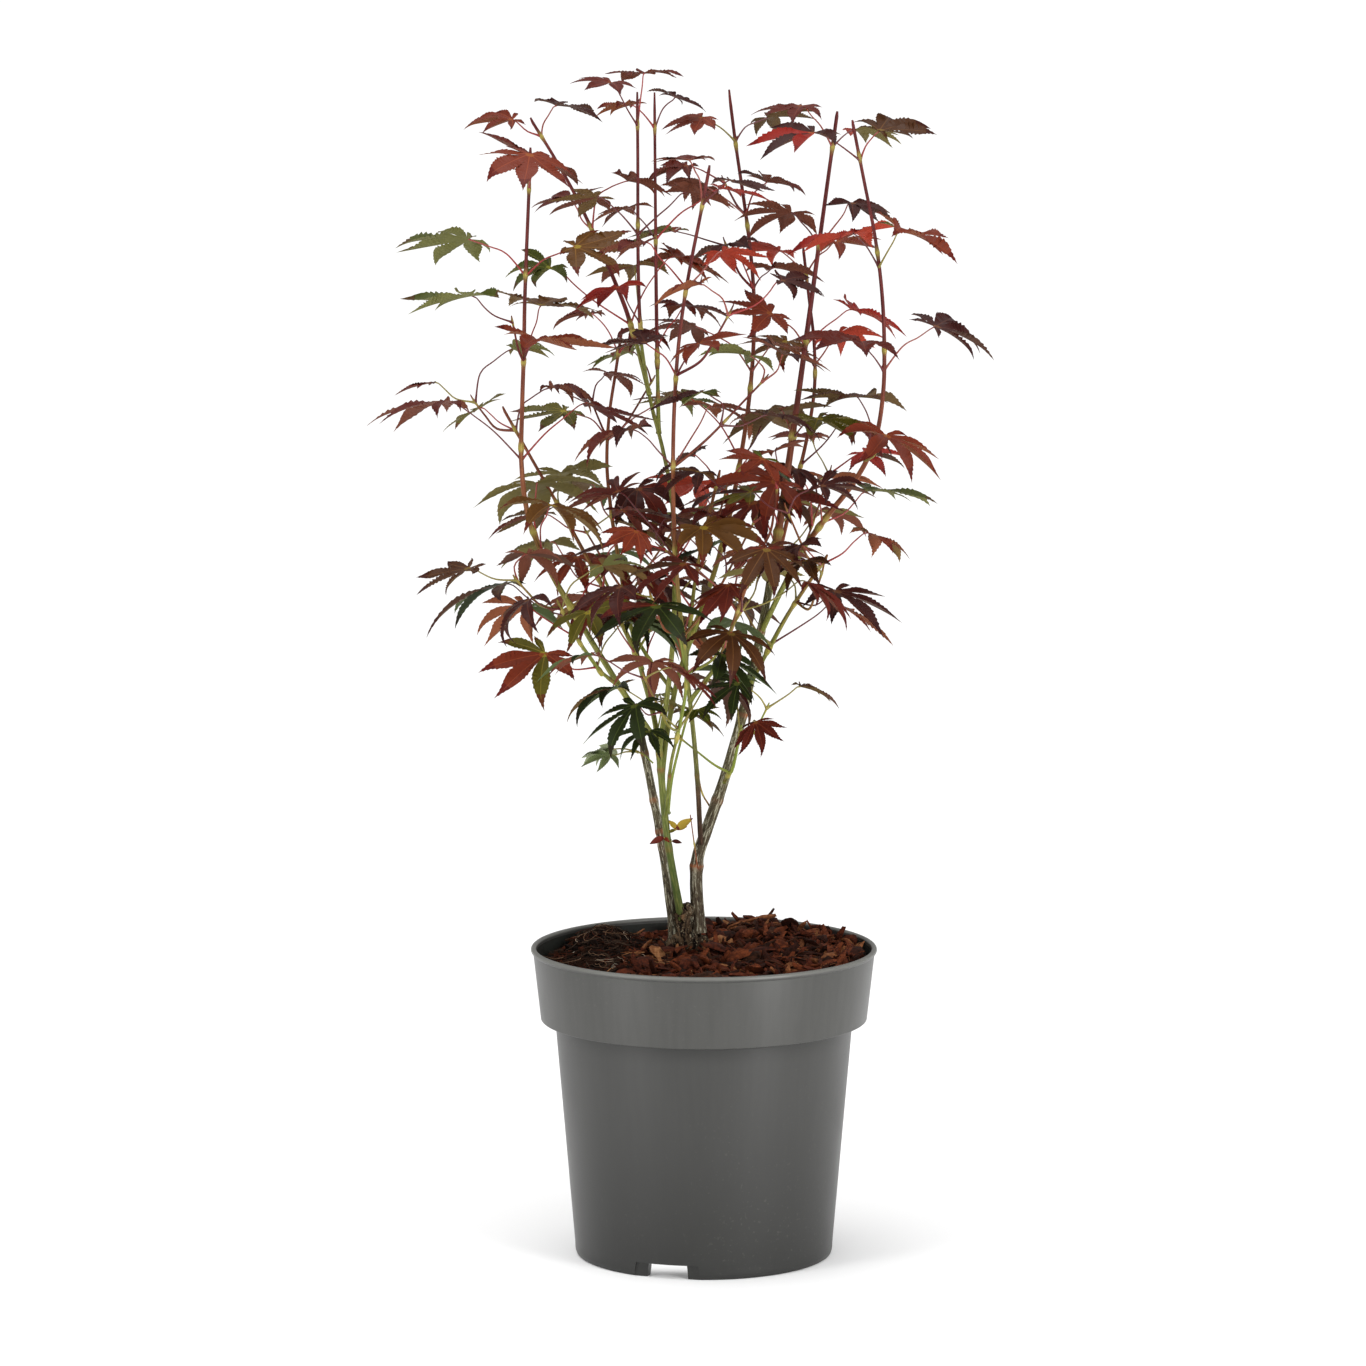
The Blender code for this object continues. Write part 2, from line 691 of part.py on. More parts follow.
def make_limbs(parts, cutters, neighbours):
    """Root crown, stems and boughs, and the bare stems of the shoots."""
    bark = new_material("grey_bark", (0.16, 0.14, 0.11), 0.85)
    green = new_material("green_bark", (0.13, 0.16, 0.05), 0.6)
    red = new_material("red_bark", (0.16, 0.03, 0.03), 0.5)
    crown = make_root_crown(parts, bark)
    wide_crown = add_object("wide_crown", crown.data.copy(), cutters)
    for vertex in wide_crown.data.vertices:
        vertex.co += vertex.normal * GAP
    earlier = [wide_crown]
    shoots = []
    boughs = {}
    for stem in (*STEMS, *LEADERS):
        points = in_metres(stem.points)
        if stem.parent in boughs:
            points.insert(0, boughs[stem.parent].at(stem.at)[0])
        whole = Limb(smooth_run(points, LIMB_SPACING), stem.foot * MM, stem.tip * MM)
        is_leader = isinstance(stem, Leader)
        bough = whole.part(0, stem.bough_share) if is_leader else whole
        boughs[stem.name] = bough
        name = stem.name + "_bough" if is_leader else stem.name
        made = tube(name, bough, parts, bark if stem.parent == "root_crown" else green)
        tree = search_tree(made.data)
        near = [other for other in earlier if tree.overlap(search_tree(other.data))]
        cut_clear(made, near, cutters)
        neighbours.add(made, name)
        earlier.append(tube("wide_" + name, bough.widened(GAP), cutters))
        if is_leader:
            shoot = whole.part(stem.bough_share, 1, GAP)
            node = tube(stem.name + "_leaves", shoot, parts, red)
            neighbours.add(node, stem.name)
            shoots.append((stem, shoot, node))
    for cutter in earlier:
        hide_cutter(cutter)
    return shoots


def new_group(name):
    group = bpy.data.collections.new(name)
    bpy.context.scene.collection.children.link(group)
    return group


def fuse_leaves(node, leaves):
    """Joins a shoot and all its leaves by one union, and removes the leaves' own objects."""
    boolean(node, "UNION", leaves, "MANIFOLD")
    apply_modifiers(node)
    for piece in list(leaves.objects):
        bpy.data.objects.remove(piece)
    bpy.data.collections.remove(leaves)


def main():
    for shape in list(bpy.data.objects):
        bpy.data.objects.remove(shape)
    parts = new_group("potted_japanese_maple")
    cutters = new_group("cutters")
    make_pot(parts, cutters)
    make_soil(parts)
    make_bark(parts)
    neighbours = Neighbours()
    shoots = make_limbs(parts, cutters, neighbours)
    for leader, shoot, node in shoots:
        leaves = new_group("leaves")
        grow_leaves(leader, shoot, neighbours, leaves)
        fuse_leaves(node, leaves)


main()
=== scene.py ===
"""The looks of a young Japanese maple in a round nursery pot.

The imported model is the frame. Stems, shoots, stalks and leaves grow by the solids' own rule, from
the same tables and seeds, and carry on to side twigs, buds, toothed lobes and bark. Tables are in
millimetres and degrees, and their colours on a screen's scale of 0 to 255.
"""

import json
import math
import random
from collections import namedtuple

import bmesh
import bpy
import numpy as np
from mathutils import Matrix, Vector, noise
from mathutils.bvhtree import BVHTree

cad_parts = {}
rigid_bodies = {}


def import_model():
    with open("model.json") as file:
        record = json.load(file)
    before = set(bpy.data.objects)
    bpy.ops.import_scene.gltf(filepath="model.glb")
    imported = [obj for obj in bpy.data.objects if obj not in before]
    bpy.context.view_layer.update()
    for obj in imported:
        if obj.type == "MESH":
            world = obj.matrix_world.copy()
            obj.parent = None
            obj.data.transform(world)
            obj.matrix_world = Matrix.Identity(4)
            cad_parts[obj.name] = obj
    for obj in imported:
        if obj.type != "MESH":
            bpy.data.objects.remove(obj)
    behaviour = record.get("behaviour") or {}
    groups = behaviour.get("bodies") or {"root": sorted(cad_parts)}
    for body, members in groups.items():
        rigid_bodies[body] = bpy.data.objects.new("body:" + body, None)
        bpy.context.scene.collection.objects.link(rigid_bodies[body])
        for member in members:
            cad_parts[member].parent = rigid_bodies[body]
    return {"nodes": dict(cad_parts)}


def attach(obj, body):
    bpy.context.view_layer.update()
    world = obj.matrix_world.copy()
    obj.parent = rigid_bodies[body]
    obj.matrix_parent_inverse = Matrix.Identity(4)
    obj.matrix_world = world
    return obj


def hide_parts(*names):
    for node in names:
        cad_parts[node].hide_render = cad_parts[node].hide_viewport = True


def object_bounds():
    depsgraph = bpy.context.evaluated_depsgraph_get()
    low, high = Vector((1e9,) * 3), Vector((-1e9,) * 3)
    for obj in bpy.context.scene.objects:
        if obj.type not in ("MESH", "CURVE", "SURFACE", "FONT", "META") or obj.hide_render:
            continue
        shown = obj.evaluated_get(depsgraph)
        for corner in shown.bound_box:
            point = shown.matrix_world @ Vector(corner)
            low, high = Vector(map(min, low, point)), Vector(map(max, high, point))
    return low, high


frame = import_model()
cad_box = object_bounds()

MM = 0.001
GAP = 0.3 * MM

# Random draws: each piece has its own seed, and a leader's own seed adds to the last two.
CRUMB_SEED = 31
CHIP_SEED = 57
SHOOT_SEED = 77
SPROUT_SEED = 5
LEAF_SEED = 300
TWIG_SEED = 1000

# Edges sharper than these, in degrees, stay sharp.
CHIP_CREASE = 40
BARK_CREASE = 60
LEAF_CREASE = 62
POT_CREASE = 32
SOIL_CREASE = 80

# Camera and light.
CAMERA_PLACE = (-0.0115, -3.1, 0.7335)
CAMERA_PITCH = 7.66  # below level
FOCAL_PIXELS = 5732
FRAME_PIXELS = 1366
SENSOR = 36
FLOOR_RADIUS = 60
SKY_STRENGTH = 0.42
# Upright panels of light: turn from the viewer, watts, distance, height, width, tallness, height aimed at.
# Two softboxes light the plant, and two low strips draw the pot's upright highlights.
PANELS = {
    "right_softbox": (42, 13, 1.6, 0.63, 0.45, 1.2, 0.3),
    "left_softbox": (-52, 7, 1.6, 0.68, 0.45, 1.2, 0.3),
    "right_strip": (42, 0.42, 0.42, 0.175, 0.13, 0.34, 0.175),
    "left_strip": (-48, 0.32, 0.42, 0.175, 0.13, 0.34, 0.175),
}

# Pot.
POT_STEPS = 160
RIM_Z = 169.4 * MM
RIM_RADIUS = 95 * MM
BEAD_RADIUS = 1.5 * MM
BEAD_STEPS = 14
COLLAR_TOP_RADIUS = 93.6 * MM
COLLAR_BOTTOM_RADIUS = 89.6 * MM
COLLAR_BOTTOM_Z = 131 * MM
BODY_TOP_RADIUS = 81.7 * MM
BODY_TOP_Z = 129.5 * MM
BASE_RADIUS = 70.8 * MM
BASE_ROUND = 2.5 * MM
WALL = 1.8 * MM
INNER_RADIUS = COLLAR_BOTTOM_RADIUS - WALL
FLOOR_TOP_Z = 11 * MM
ARCHES = 3
FIRST_ARCH_TURN = -107
ARCH_TOP_SHARE = 0.88
ARCH_HEIGHT = 8 * MM
ARCH_DEPTH = 34 * MM
# Each arch is a wide shallow recess with a narrow tunnel behind: (width, depth).
ARCH_CUTS = ((40 * MM, 3.4 * MM), (24.5 * MM, ARCH_DEPTH))
FOOT_RING = 8 * MM
DRAIN_HOLE_RADIUS = 5 * MM

# Soil and bark.
SOIL_STEPS = 150
SOIL_RINGS = 46
SOIL_Z = 160 * MM
FLAT_RADIUS = 26 * MM
BARK_THICKNESS = 6 * MM
CROWN_AT = Vector((-8, 14, 0)) * MM
SCATTER = 90  # crumbs and chips are dealt out this far each way
CHIP_CLEARANCE = 10.5 * MM  # from the middle of the stems
NEAR_WALL = 12 * MM  # chips this near the wall lie along it
CRUMBS = 1500
FIBRES = 900
ROOTLET_PATCHES = ((-56, 42, 15, 15), (-62, -14, 16, 7), (-34, -8, 24, 6), (20, 0, 50, 5))  # x, y, spread, count
GOLDEN = (1 + 5**0.5) / 2
CLOD_CORNERS = [
    corner for a in (-1, 1) for b in (-GOLDEN, GOLDEN) for corner in ((0, a, b), (a, b, 0), (b, 0, a))
]
CHIP_KINDS = 24
CHIPS = 1650
CHIP_FIBRES = 520
CHIP_RINGS = 5
CHIP_CORNERS = ((-1, -0.5), (-0.4, -1), (0.55, -0.9), (1, -0.2), (0.5, 0.9), (-0.45, 1))
CRUMB_COLOURS = {
    "dark_crumb": (22, 13, 9),
    "brown_crumb": (42, 25, 16),
    "red_crumb": (66, 31, 18),
    "pale_grit": (150, 142, 128),
    "pale_rootlet": (166, 146, 126),
    "tan_rootlet": (128, 98, 76),
    "grey_fibre": (64, 50, 40),
}
CHIP_COLOURS = {
    "chip_dark": ((24, 9, 4), (60, 25, 13)),
    "chip_red_brown": ((44, 17, 9), (96, 44, 25)),
    "chip_rust": ((64, 27, 13), (122, 62, 34)),
    "chip_umber": ((32, 16, 9), (76, 43, 27)),
    "chip_tan": ((84, 46, 24), (142, 90, 56)),
    "chip_pale": ((112, 68, 40), (168, 118, 78)),
    "fibre_pale": ((128, 80, 46), (182, 138, 96)),
}
CLUMP_GRAIN = 0.7 * MM
HOLLOW_AT = Vector((-13.1, 1.0, 187.0)) * MM
HOLLOW_WIDE = 3.2 * MM
HOLLOW_TALL = 4.6 * MM
HOLLOW_DEPTH = 4.6 * MM
# The root clump's lumps: x, y, z from the crown's middle on the soil, and three radii.
CLUMP_LUMPS = (
    (-2, -1, 2, 12, 9.5, 8),
    (-2, -3, 13, 6.5, 6, 7),
    (-3, -5.5, 22, 4.4, 4, 6),
    (-1.5, -3.5, 29, 3.4, 3.4, 4.5),
    (-8, 1, 7, 5.5, 5.5, 7),
    (5.5, 0, 7, 5.8, 5.6, 8),
    (-6, -5, 9, 3.6, 3, 4),
    (2.5, -5, 10, 4, 3.4, 4.6),
    (-1, 2, 16, 6, 4, 7),
    (9, -4, 3, 5, 4, 4.5),
    (-12, -3, 3, 5, 4, 4.5),
    (-3.5, -8.5, 17, 2.4, 2.2, 2.8),
    (1.5, -7.5, 15, 2.3, 2.2, 2.6),
    (-7.5, -8, 13, 2.3, 2, 3),
    (4, -8, 6, 3, 2.4, 2.6),
    (-1.5, -9.5, 7, 3.2, 2.4, 3.2),
    (-6, -9, 4, 2.6, 2.2, 2.4),
    (0.5, -5.5, 24, 1.9, 1.8, 2.6),
)

# Limbs, as in the solids.
LIMB_SPACING = 26 * MM
CLOSEST_POINT = 0.3
TAPER = 1.5
LIMB_SIDES = 6
STALK_SIDES = 4

# Leaves, as in the solids.
LOBE_TURNS = (-118, -78, -39, 0, 39, 78, 118)
LOBE_REACHES = (0.40, 0.76, 0.94, 1.0, 0.94, 0.76, 0.40)
SMALLEST_WIDE_LOBE = 0.5
NOTCH_REACH = 0.27
SHOULDER_SHARE = 0.5
SHOULDER_TURN = 12
HEEL_REACH = 0.05
LEAF_FALL = 0.2
TEST_HALF_THICKNESS = 1.0 * MM
STALK_FOOT = 1.3 * MM
STALK_TIP = 0.7 * MM
STALK_CLEARANCE = 1.6 * MM
STALK_TESTS = 24
SHARED_STALK = 0.3
FIRST_PAIR = 0.06
LAST_PAIR = 0.93
TURN_PER_PAIR = 90
TURN_SPREAD = 22
SIZE_SPREAD = 0.12
SHORTEST_STALK = 24 * MM
LONGEST_STALK = 52 * MM
FOOT_STALK_SHARE = 1.15
STALK_SHRINK = 0.4
BEND_SHARE = 0.45
LEAST_LIFT = 0.3
MOST_LIFT = 0.9
MOST_FALL = 22
TOP_FALL_Z = 500 * MM
MORE_FALL_BELOW = 100
MOST_ROLL = 24
LEAF_TRIES = 16
LOWEST_LEAF_Z = 200 * MM

# Finer twigs.
SIDE_TWIG_LENGTHS = (38, 82)
SIDE_TWIG_TRIES = 5
SIDE_TWIG_SPREAD = 28
SIDE_TWIG_FOOT = 1.7 * MM
SIDE_TWIG_TIP = 1.1 * MM
LONG_SIDE_TWIG = 60 * MM  # a longer one bears two pairs
# How likely a side twig is in an axil, by height in metres.
SIDE_TWIG_HEIGHTS = (0.3, 0.42, 0.5, 0.6)
SIDE_TWIG_CHANCES = (0.7, 0.55, 0.2, 0.1)
BARE_TIP = 3  # longer on some leaders
BARE_TIPS = {"middle": 9, "middle_right": 10, "back": 9}

# Looks by height in metres: high leaves are flatter, broader and a little shorter, and high bark is redder.
DROOP_BY_HEIGHT = ((0.44, 0.56), (1.0, 0.35))
WIDTH_BY_HEIGHT = ((0.32, 0.45, 0.55), (0.9, 1.05, 1.28))
LENGTH_BY_HEIGHT = ((0.46, 0.56), (1.0, 0.93))
RED_BY_HEIGHT = ((0.30, 0.40, 0.55), (0.0, 0.42, 0.95))

# Leaf blades.
BLADE_ROWS = 12  # rows of teeth on the longest lobe
WIDTH_KNOTS = (0.24, 0.34, 0.44, 0.54, 0.64, 0.74, 0.82, 0.89, 0.95, 1.0)
WIDTHS = (0.58, 0.84, 0.99, 1.0, 0.84, 0.56, 0.32, 0.16, 0.07, 0.0)
PALM_SHARE = 0.24
LOBE_HALF_WIDTH = 0.128
RIB_HALF_WIDTH = 0.28 * MM
BLADE_THICKNESS = 0.22 * MM
LEAFLET_ROWS = 7
# A leaflet's row is its right and left margin, its rib and the rib's underside: 0 to 3, then 4 to 7.
LEAFLET_FACES = (
    (0, 4, 6), (0, 6, 2), (2, 6, 5), (2, 5, 1), (0, 7, 4), (0, 3, 7), (3, 5, 7), (3, 1, 5)
)

# Bark: how green and how red a limb is from foot to tip, and its bud scars as shares of its length.
LIMB_LOOKS = {
    "left_stem": ((0.0, 0.1), (0, 0, 0, 0), (0.43, 0.50, 0.64, 0.86)),
    "green_stem": ((0.95, 1.0), (0.2, 0, 0, 0), (0.44, 0.84, 0.93)),
    "right": ((0.0, 0.3), (0.3, 0.2, 0.1, 0), (0.17, 0.35, 0.58, 0.80)),
    "left": ((1.0, 0.9), (0, 0, 0, 0.1), (0.5,)),
    "front": ((0.1, 1.0), (0.95, 0.9, 0.1, 0), (0.40, 0.7)),
    "middle": ((1.0, 0.9), (0, 0, 0, 0.1), (0.2, 0.5, 0.8)),
}
PLAIN_LOOK = ((1.0, 0.9), (0, 0, 0, 0.15), (0.55,))
GREY_LIMBS = ("left_stem", "right")
CLUMP_LIMBS = ("left_stem", "green_stem", "right")
# Ground, streak and crack.
BARK_COLOURS = {
    "grey": ((86, 76, 58), (176, 172, 150), (34, 26, 20)),
    "green": ((88, 80, 50), (140, 136, 92), (48, 36, 26)),
}

# Little shoots at the foot: (points, thickness, redness, leaves).
# A leaf is (share of the shoot, turn, length, lift, tint, lobes).
SPROUTS = (
    (((-19, 12, 243), (-19.5, 4, 246), (-17.5, 0, 264), (-13, -3, 284), (-9, -8, 300)), 1.9, 0.0,
     ((0.98, -60, 17, 0.5, "leaf_green", 5), (0.98, 120, 15, 0.6, "olive", 5))),
    (((-20, 6, 234), (-17, 2, 234.5), (-14.8, -1, 236)), 0.9, 0.3,
     ((1.0, -12, 10.5, 0.8, "bronze", 1), (1.0, 172, 7, 1.1, "bronze", 1), (0.9, 10, 6.5, 0.3, "bronze", 1),
      (0.8, 190, 4.5, -0.3, "olive", 1))),
    (((-18, 6, 229), (-20.5, 2, 230), (-22, 0, 231)), 0.8, 0.6,
     ((1.0, 185, 8.5, -0.35, "wine", 1), (0.9, -60, 5, -0.2, "brick", 1))),
    (((-21, 6, 228), (-18.6, 0, 229), (-17.4, -2, 229.5)), 0.8, 0.6, ((1.0, -8, 5.5, -0.1, "plum", 1),)),
    (((-28, 16, 270), (-33, 14, 275), (-37, 13, 277)), 1.0, 0.0,
     ((0.9, 172, 20, 0.12, "pale_green", 5), (1.0, 200, 19, -0.1, "pale_green", 5))),
    (((-3, 10, 212), (-4, 6, 217), (-7.5, 5, 243)), 0.9, 0.5, ()),
    (((3, 18, 246), (-1, 12, 254), (-3, 12, 264)), 1.1, 0.3, ()),
    (((-26, 16, 286), (-24, 12, 296), (-23, 10, 304)), 1.2, 0.1, ((1.0, 100, 11, 0.6, "leaf_green", 5),)),
)

Stem = namedtuple("Stem", "name parent at points foot tip")
# A bare bough up to bough_share of its length, and a leafy shoot from there.
Leader = namedtuple("Leader", (*Stem._fields, "bough_share", "pairs", "turn", "low_leaf", "top_leaf", "seed"))
Leaf = namedtuple("Leaf", "stalk place length")
Twig = namedtuple("Twig", "limb leaves nodes")
LEFT_FOOT = (-16, 15, 172)
GREEN_FOOT = (-11, 10, 178)
RIGHT_FOOT = (-3, 14, 176)
STEMS = (
    Stem("left_stem", "root_crown", 0, (LEFT_FOOT, (-23, 14, 225), (-36, 22, 292)), 5.4, 4.2),
    Stem("green_stem", "root_crown", 0, (GREEN_FOOT, (-20, 2, 230), (-25, -2, 286)), 4.4, 3.8),
)
LEADERS = (
    Leader("right", "root_crown", 0,
           (RIGHT_FOOT, (-4, 15, 213), (18, 20, 284), (40, 34, 390), (73, 65, 622)),
           7.5, 1.8, 0.46, 5, 40, 42, 34, 1),
    Leader("left", "green_stem", 0.97, ((-57, -10, 334), (-95, -20, 410), (-97, -24, 500), (-93, -30, 606)),
           3.6, 1.6, 0.22, 6, 5, 50, 44, 6),
    Leader("inner_left", "green_stem", 0.9, ((-33, 12, 320), (-62, 36, 377), (-110, 60, 460)),
           3.2, 1.5, 0.25, 4, 60, 38, 32, 3),
    Leader("middle", "green_stem", 0.95, ((-17, -4, 340), (-18, 4, 420), (-34, 12, 500), (-36, -10, 629)),
           3.2, 1.5, 0.64, 3, 80, 34, 28, 4),
    Leader("middle_left", "middle", 0.79, ((-43, 22, 520), (-71, 45, 581), (-94, 60, 619)),
           2.6, 1.5, 0.2, 3, 30, 36, 30, 5),
    Leader("middle_right", "middle", 0.7, ((-26, 24, 520), (-27, 46, 626)),
           2.4, 1.4, 0.25, 3, 50, 34, 26, 6),
    Leader("back", "green_stem", 0.8, ((-15, 10, 315), (14, 50, 402), (28, 76, 511), (15, 95, 627)),
           3.2, 1.6, 0.2, 7, 45, 40, 32, 7),
    Leader("front", "right", 0.18, ((-5, -12, 282), (-16, -50, 400), (-14, -68, 505), (2, -85, 599)),
           3.0, 1.6, 0.34, 6, 40, 40, 32, 8),
    Leader("outer_right", "right", 0.81, ((55, 14, 390), (92, -14, 450), (95, -26, 533), (79, -40, 621)),
           3.2, 1.6, 0.22, 5, 35, 44, 40, 9),
    Leader("low_right", "right", 0.66, ((45, -5, 354), (65, -38, 389)),
           2.6, 1.6, 0.25, 3, 40, 40, 34, 10),
    Leader("low_front", "front", 0.72, ((7, -42, 332), (29, -75, 399)),
           2.6, 1.6, 0.25, 3, 90, 38, 34, 11),
    Leader("low_left", "left", 0.43, ((-60, -30, 330), (-78, -52, 366)),
           2.2, 1.5, 0.25, 3, 30, 44, 38, 12),
    Leader("low_back", "back", 0.6, ((-34, 34, 330), (-58, 62, 372)),
           2.2, 1.5, 0.25, 3, 60, 42, 36, 18),
    Leader("low_middle", "front", 0.9, ((-4, -12, 380), (8, 4, 430)),
           2.2, 1.5, 0.25, 3, 20, 36, 32, 13),
    Leader("small_front", "green_stem", 0.6, ((-18, -20, 275), (-10, -42, 318), (-14, -62, 356)),
           2.2, 1.5, 0.45, 3, 50, 38, 42, 14),
    Leader("foot_right", "right", 0.38, ((16, 4, 270), (20, -8, 292)),
           2.2, 1.4, 0.3, 2, 20, 33, 30, 15),
    Leader("rear_left", "inner_left", 0.66, ((-42, 45, 350), (-54, 88, 430), (-46, 104, 500)),
           2.6, 1.5, 0.25, 4, 40, 38, 32, 16),
    Leader("rear_right", "right", 0.73, ((44, 60, 390), (62, 98, 470), (56, 110, 545)),
           2.6, 1.5, 0.25, 4, 50, 38, 32, 17),
)




# ---- Growth: the same limbs, shoots and leaf places as the solids ----


def in_metres(points):
    return [Vector(point) * MM for point in points]


def upward(height):
    return Vector((0, 0, height))


def outward(turn):
    """A level direction, turned in degrees from +X."""
    angle = math.radians(turn)
    return Vector((math.cos(angle), math.sin(angle), 0))


def smooth_run(points, spacing):
    """A smooth path through the points, with a point about every spacing."""
    ends = [2 * points[0] - points[1], *points, 2 * points[-1] - points[-2]]
    path = []
    for before, start, end, after in zip(ends, ends[1:], ends[2:], ends[3:]):
        count = max(1, round((end - start).length / spacing))
        for step in range(count):
            t = step / count
            straight = 2 * start + (end - before) * t
            bend = (2 * before - 5 * start + 4 * end - after) * t**2
            path.append(0.5 * (straight + bend + (3 * start - before - 3 * end + after) * t**3))
    return [*path, points[-1].copy()]


class Limb:
    """A tapering path: its points and the radius at each."""

    def __init__(self, points, foot=0, tip=0, radii=None):
        self.points = points
        steps = len(points) - 1
        self.radii = radii or [(tip + (foot - tip) * (1 - i / steps) ** TAPER) / 2 for i in range(steps + 1)]

    def at(self, share):
        """The place, direction and radius at a share of the limb."""
        where = min(max(share, 0), 1) * (len(self.points) - 1)
        i = min(int(where), len(self.points) - 2)
        along = self.points[i + 1] - self.points[i]
        radius = self.radii[i] + (self.radii[i + 1] - self.radii[i]) * (where - i)
        return self.points[i] + along * (where - i), along.normalized(), radius

    def part(self, start, end, gap=0):
        """The stretch between two shares of the limb, its foot moved up by a gap."""
        steps = len(self.points) - 1
        low, high = start * steps + CLOSEST_POINT, end * steps - CLOSEST_POINT
        inner = [i for i in range(steps + 1) if low < i < high]
        (foot, along, thick), (tip, _, thin) = self.at(start), self.at(end)
        points = [foot + along * gap, *(self.points[i] for i in inner), tip]
        return Limb(points, radii=[thick, *(self.radii[i] for i in inner), thin])


def tube_mesh(limb, sides):
    """The solid's own few-sided tube, for the tests of room."""
    curve = bpy.data.curves.new("tube", "CURVE")
    curve.dimensions = "3D"
    curve.bevel_depth = 1
    curve.bevel_resolution = sides // 2 - 2
    curve.use_fill_caps = True
    run = curve.splines.new("POLY")
    run.points.add(len(limb.points) - 1)
    for spot, place, radius in zip(run.points, limb.points, limb.radii):
        spot.co = (*place, 1)
        spot.radius = radius
    guide = add_object("guide", curve)
    evaluated = guide.evaluated_get(bpy.context.evaluated_depsgraph_get())
    mesh = bpy.data.meshes.new_from_object(evaluated)
    bpy.data.objects.remove(guide)
    bpy.data.curves.remove(curve)
    return mesh


def bounding_ball(corners):
    """The middle of some points and the reach of the furthest."""
    middle = sum(corners, Vector()) / len(corners)
    return middle, max((corner - middle).length for corner in corners)


class Neighbours:
    """The surfaces that a new leaf has to keep clear of."""

    def __init__(self):
        self.known = []

    def add(self, mesh, owner, is_limb=True):
        corners = [v.co for v in mesh.vertices]
        tree = BVHTree.FromPolygons(corners, [p.vertices for p in mesh.polygons])
        self.known.append((owner, is_limb, *bounding_ball(corners), tree))

    def add_tube(self, limb, sides, owner, is_limb=True):
        mesh = tube_mesh(limb, sides)
        self.add(mesh, owner, is_limb)
        bpy.data.meshes.remove(mesh)

    def near_ball(self, middle, reach):
        for owner, is_limb, other_middle, other_reach, tree in self.known:
            if (other_middle - middle).length < other_reach + reach:
                yield owner, is_limb, tree

    def meet(self, blade):
        tree = BVHTree.FromBMesh(blade)
        return any(tree.overlap(other) for _, _, other in self.near_ball(*bounding_ball([v.co for v in blade.verts])))

    def are_near(self, places, owner, counting_own_leaves):
        """Whether one of the places is close to any surface but the owner's shoot."""
        middle, reach = bounding_ball(places)
        return any(
            tree.find_nearest(place, STALK_CLEARANCE)[0]
            for other_owner, is_limb, tree in self.near_ball(middle, reach + STALK_CLEARANCE)
            if other_owner != owner or (counting_own_leaves and not is_limb)
            for place in places
        )


def blade_outline():
    """Turn and reach of the places round a plain leaf of unit length."""
    places = []
    for index, (turn, reach) in enumerate(zip(LOBE_TURNS, LOBE_REACHES)):
        if index:
            places.append(((turn + LOBE_TURNS[index - 1]) / 2, NOTCH_REACH))
        shoulder = SHOULDER_SHARE * reach
        lobe = [(turn - SHOULDER_TURN, shoulder), (turn, reach), (turn + SHOULDER_TURN, shoulder)]
        places += lobe if reach >= SMALLEST_WIDE_LOBE else lobe[1:2]
    return [*places, (180, HEEL_REACH)]


def blade_shape(length, half_thickness, place):
    """The solid's own plain blade, for the tests of room."""
    outline = blade_outline()
    shape = bmesh.new()
    bmesh.ops.create_uvsphere(shape, u_segments=len(outline), v_segments=2, radius=1)
    rim = [v for v in shape.verts if abs(v.co.z) < 0.5]
    for pole in (v for v in shape.verts if abs(v.co.z) > 0.5):
        pole.co = (0, 0, math.copysign(half_thickness, pole.co.z))
    rim.sort(key=lambda v: math.atan2(v.co.y, v.co.x))
    for vertex, (turn, reach) in zip(rim, outline):
        vertex.co = (outward(turn) - upward(LEAF_FALL * reach)) * reach * length
    bmesh.ops.transform(shape, matrix=place, verts=shape.verts)
    return shape


def leaf_place(forward, out, roll, middle):
    """A leaf's own frame: X along its middle lobe, Y to its left, turned about X by its roll."""
    left = Matrix.Rotation(roll, 3, forward) @ upward(1).cross(out)
    place = Matrix((forward, left, forward.cross(left))).transposed().to_4x4()
    place.translation = middle
    return place


def try_leaf(shoot, share, turn, length, rng):
    """A leaf on its stalk: out and up from the shoot, then over towards level."""
    node, along, _ = shoot.at(share)
    out = outward(turn + rng.uniform(-1, 1) * TURN_SPREAD)
    across = (out - along * out.dot(along)).normalized()
    reach = rng.uniform(SHORTEST_STALK, LONGEST_STALK) * (FOOT_STALK_SHARE - STALK_SHRINK * share)
    lift = rng.uniform(LEAST_LIFT, MOST_LIFT)
    bend = node + (across + along).normalized() * BEND_SHARE * reach
    middle = bend + (out + upward(lift)).normalized() * (1 - BEND_SHARE) * reach
    fall = math.radians(rng.uniform(0, MOST_FALL) + MORE_FALL_BELOW * max(0, TOP_FALL_Z - middle.z))
    roll = math.radians(rng.uniform(-MOST_ROLL, MOST_ROLL))
    forward = out * math.cos(fall) - upward(math.sin(fall))
    stalk = Limb([node, bend, middle], STALK_FOOT, STALK_TIP)
    return Leaf(stalk, leaf_place(forward, out, roll, middle), length)


def has_room(leaf, owner, neighbours):
    places = [leaf.stalk.at(i / STALK_TESTS)[0] for i in range(STALK_TESTS + 1)]
    shared = round(STALK_TESTS * SHARED_STALK)
    if neighbours.are_near(places[:shared], owner, False) or neighbours.are_near(places[shared:], owner, True):
        return False
    blade = blade_shape(leaf.length, TEST_HALF_THICKNESS, leaf.place)
    is_low = min(v.co.z for v in blade.verts) < LOWEST_LEAF_Z
    met = is_low or neighbours.meet(blade)
    blade.free()
    return not met


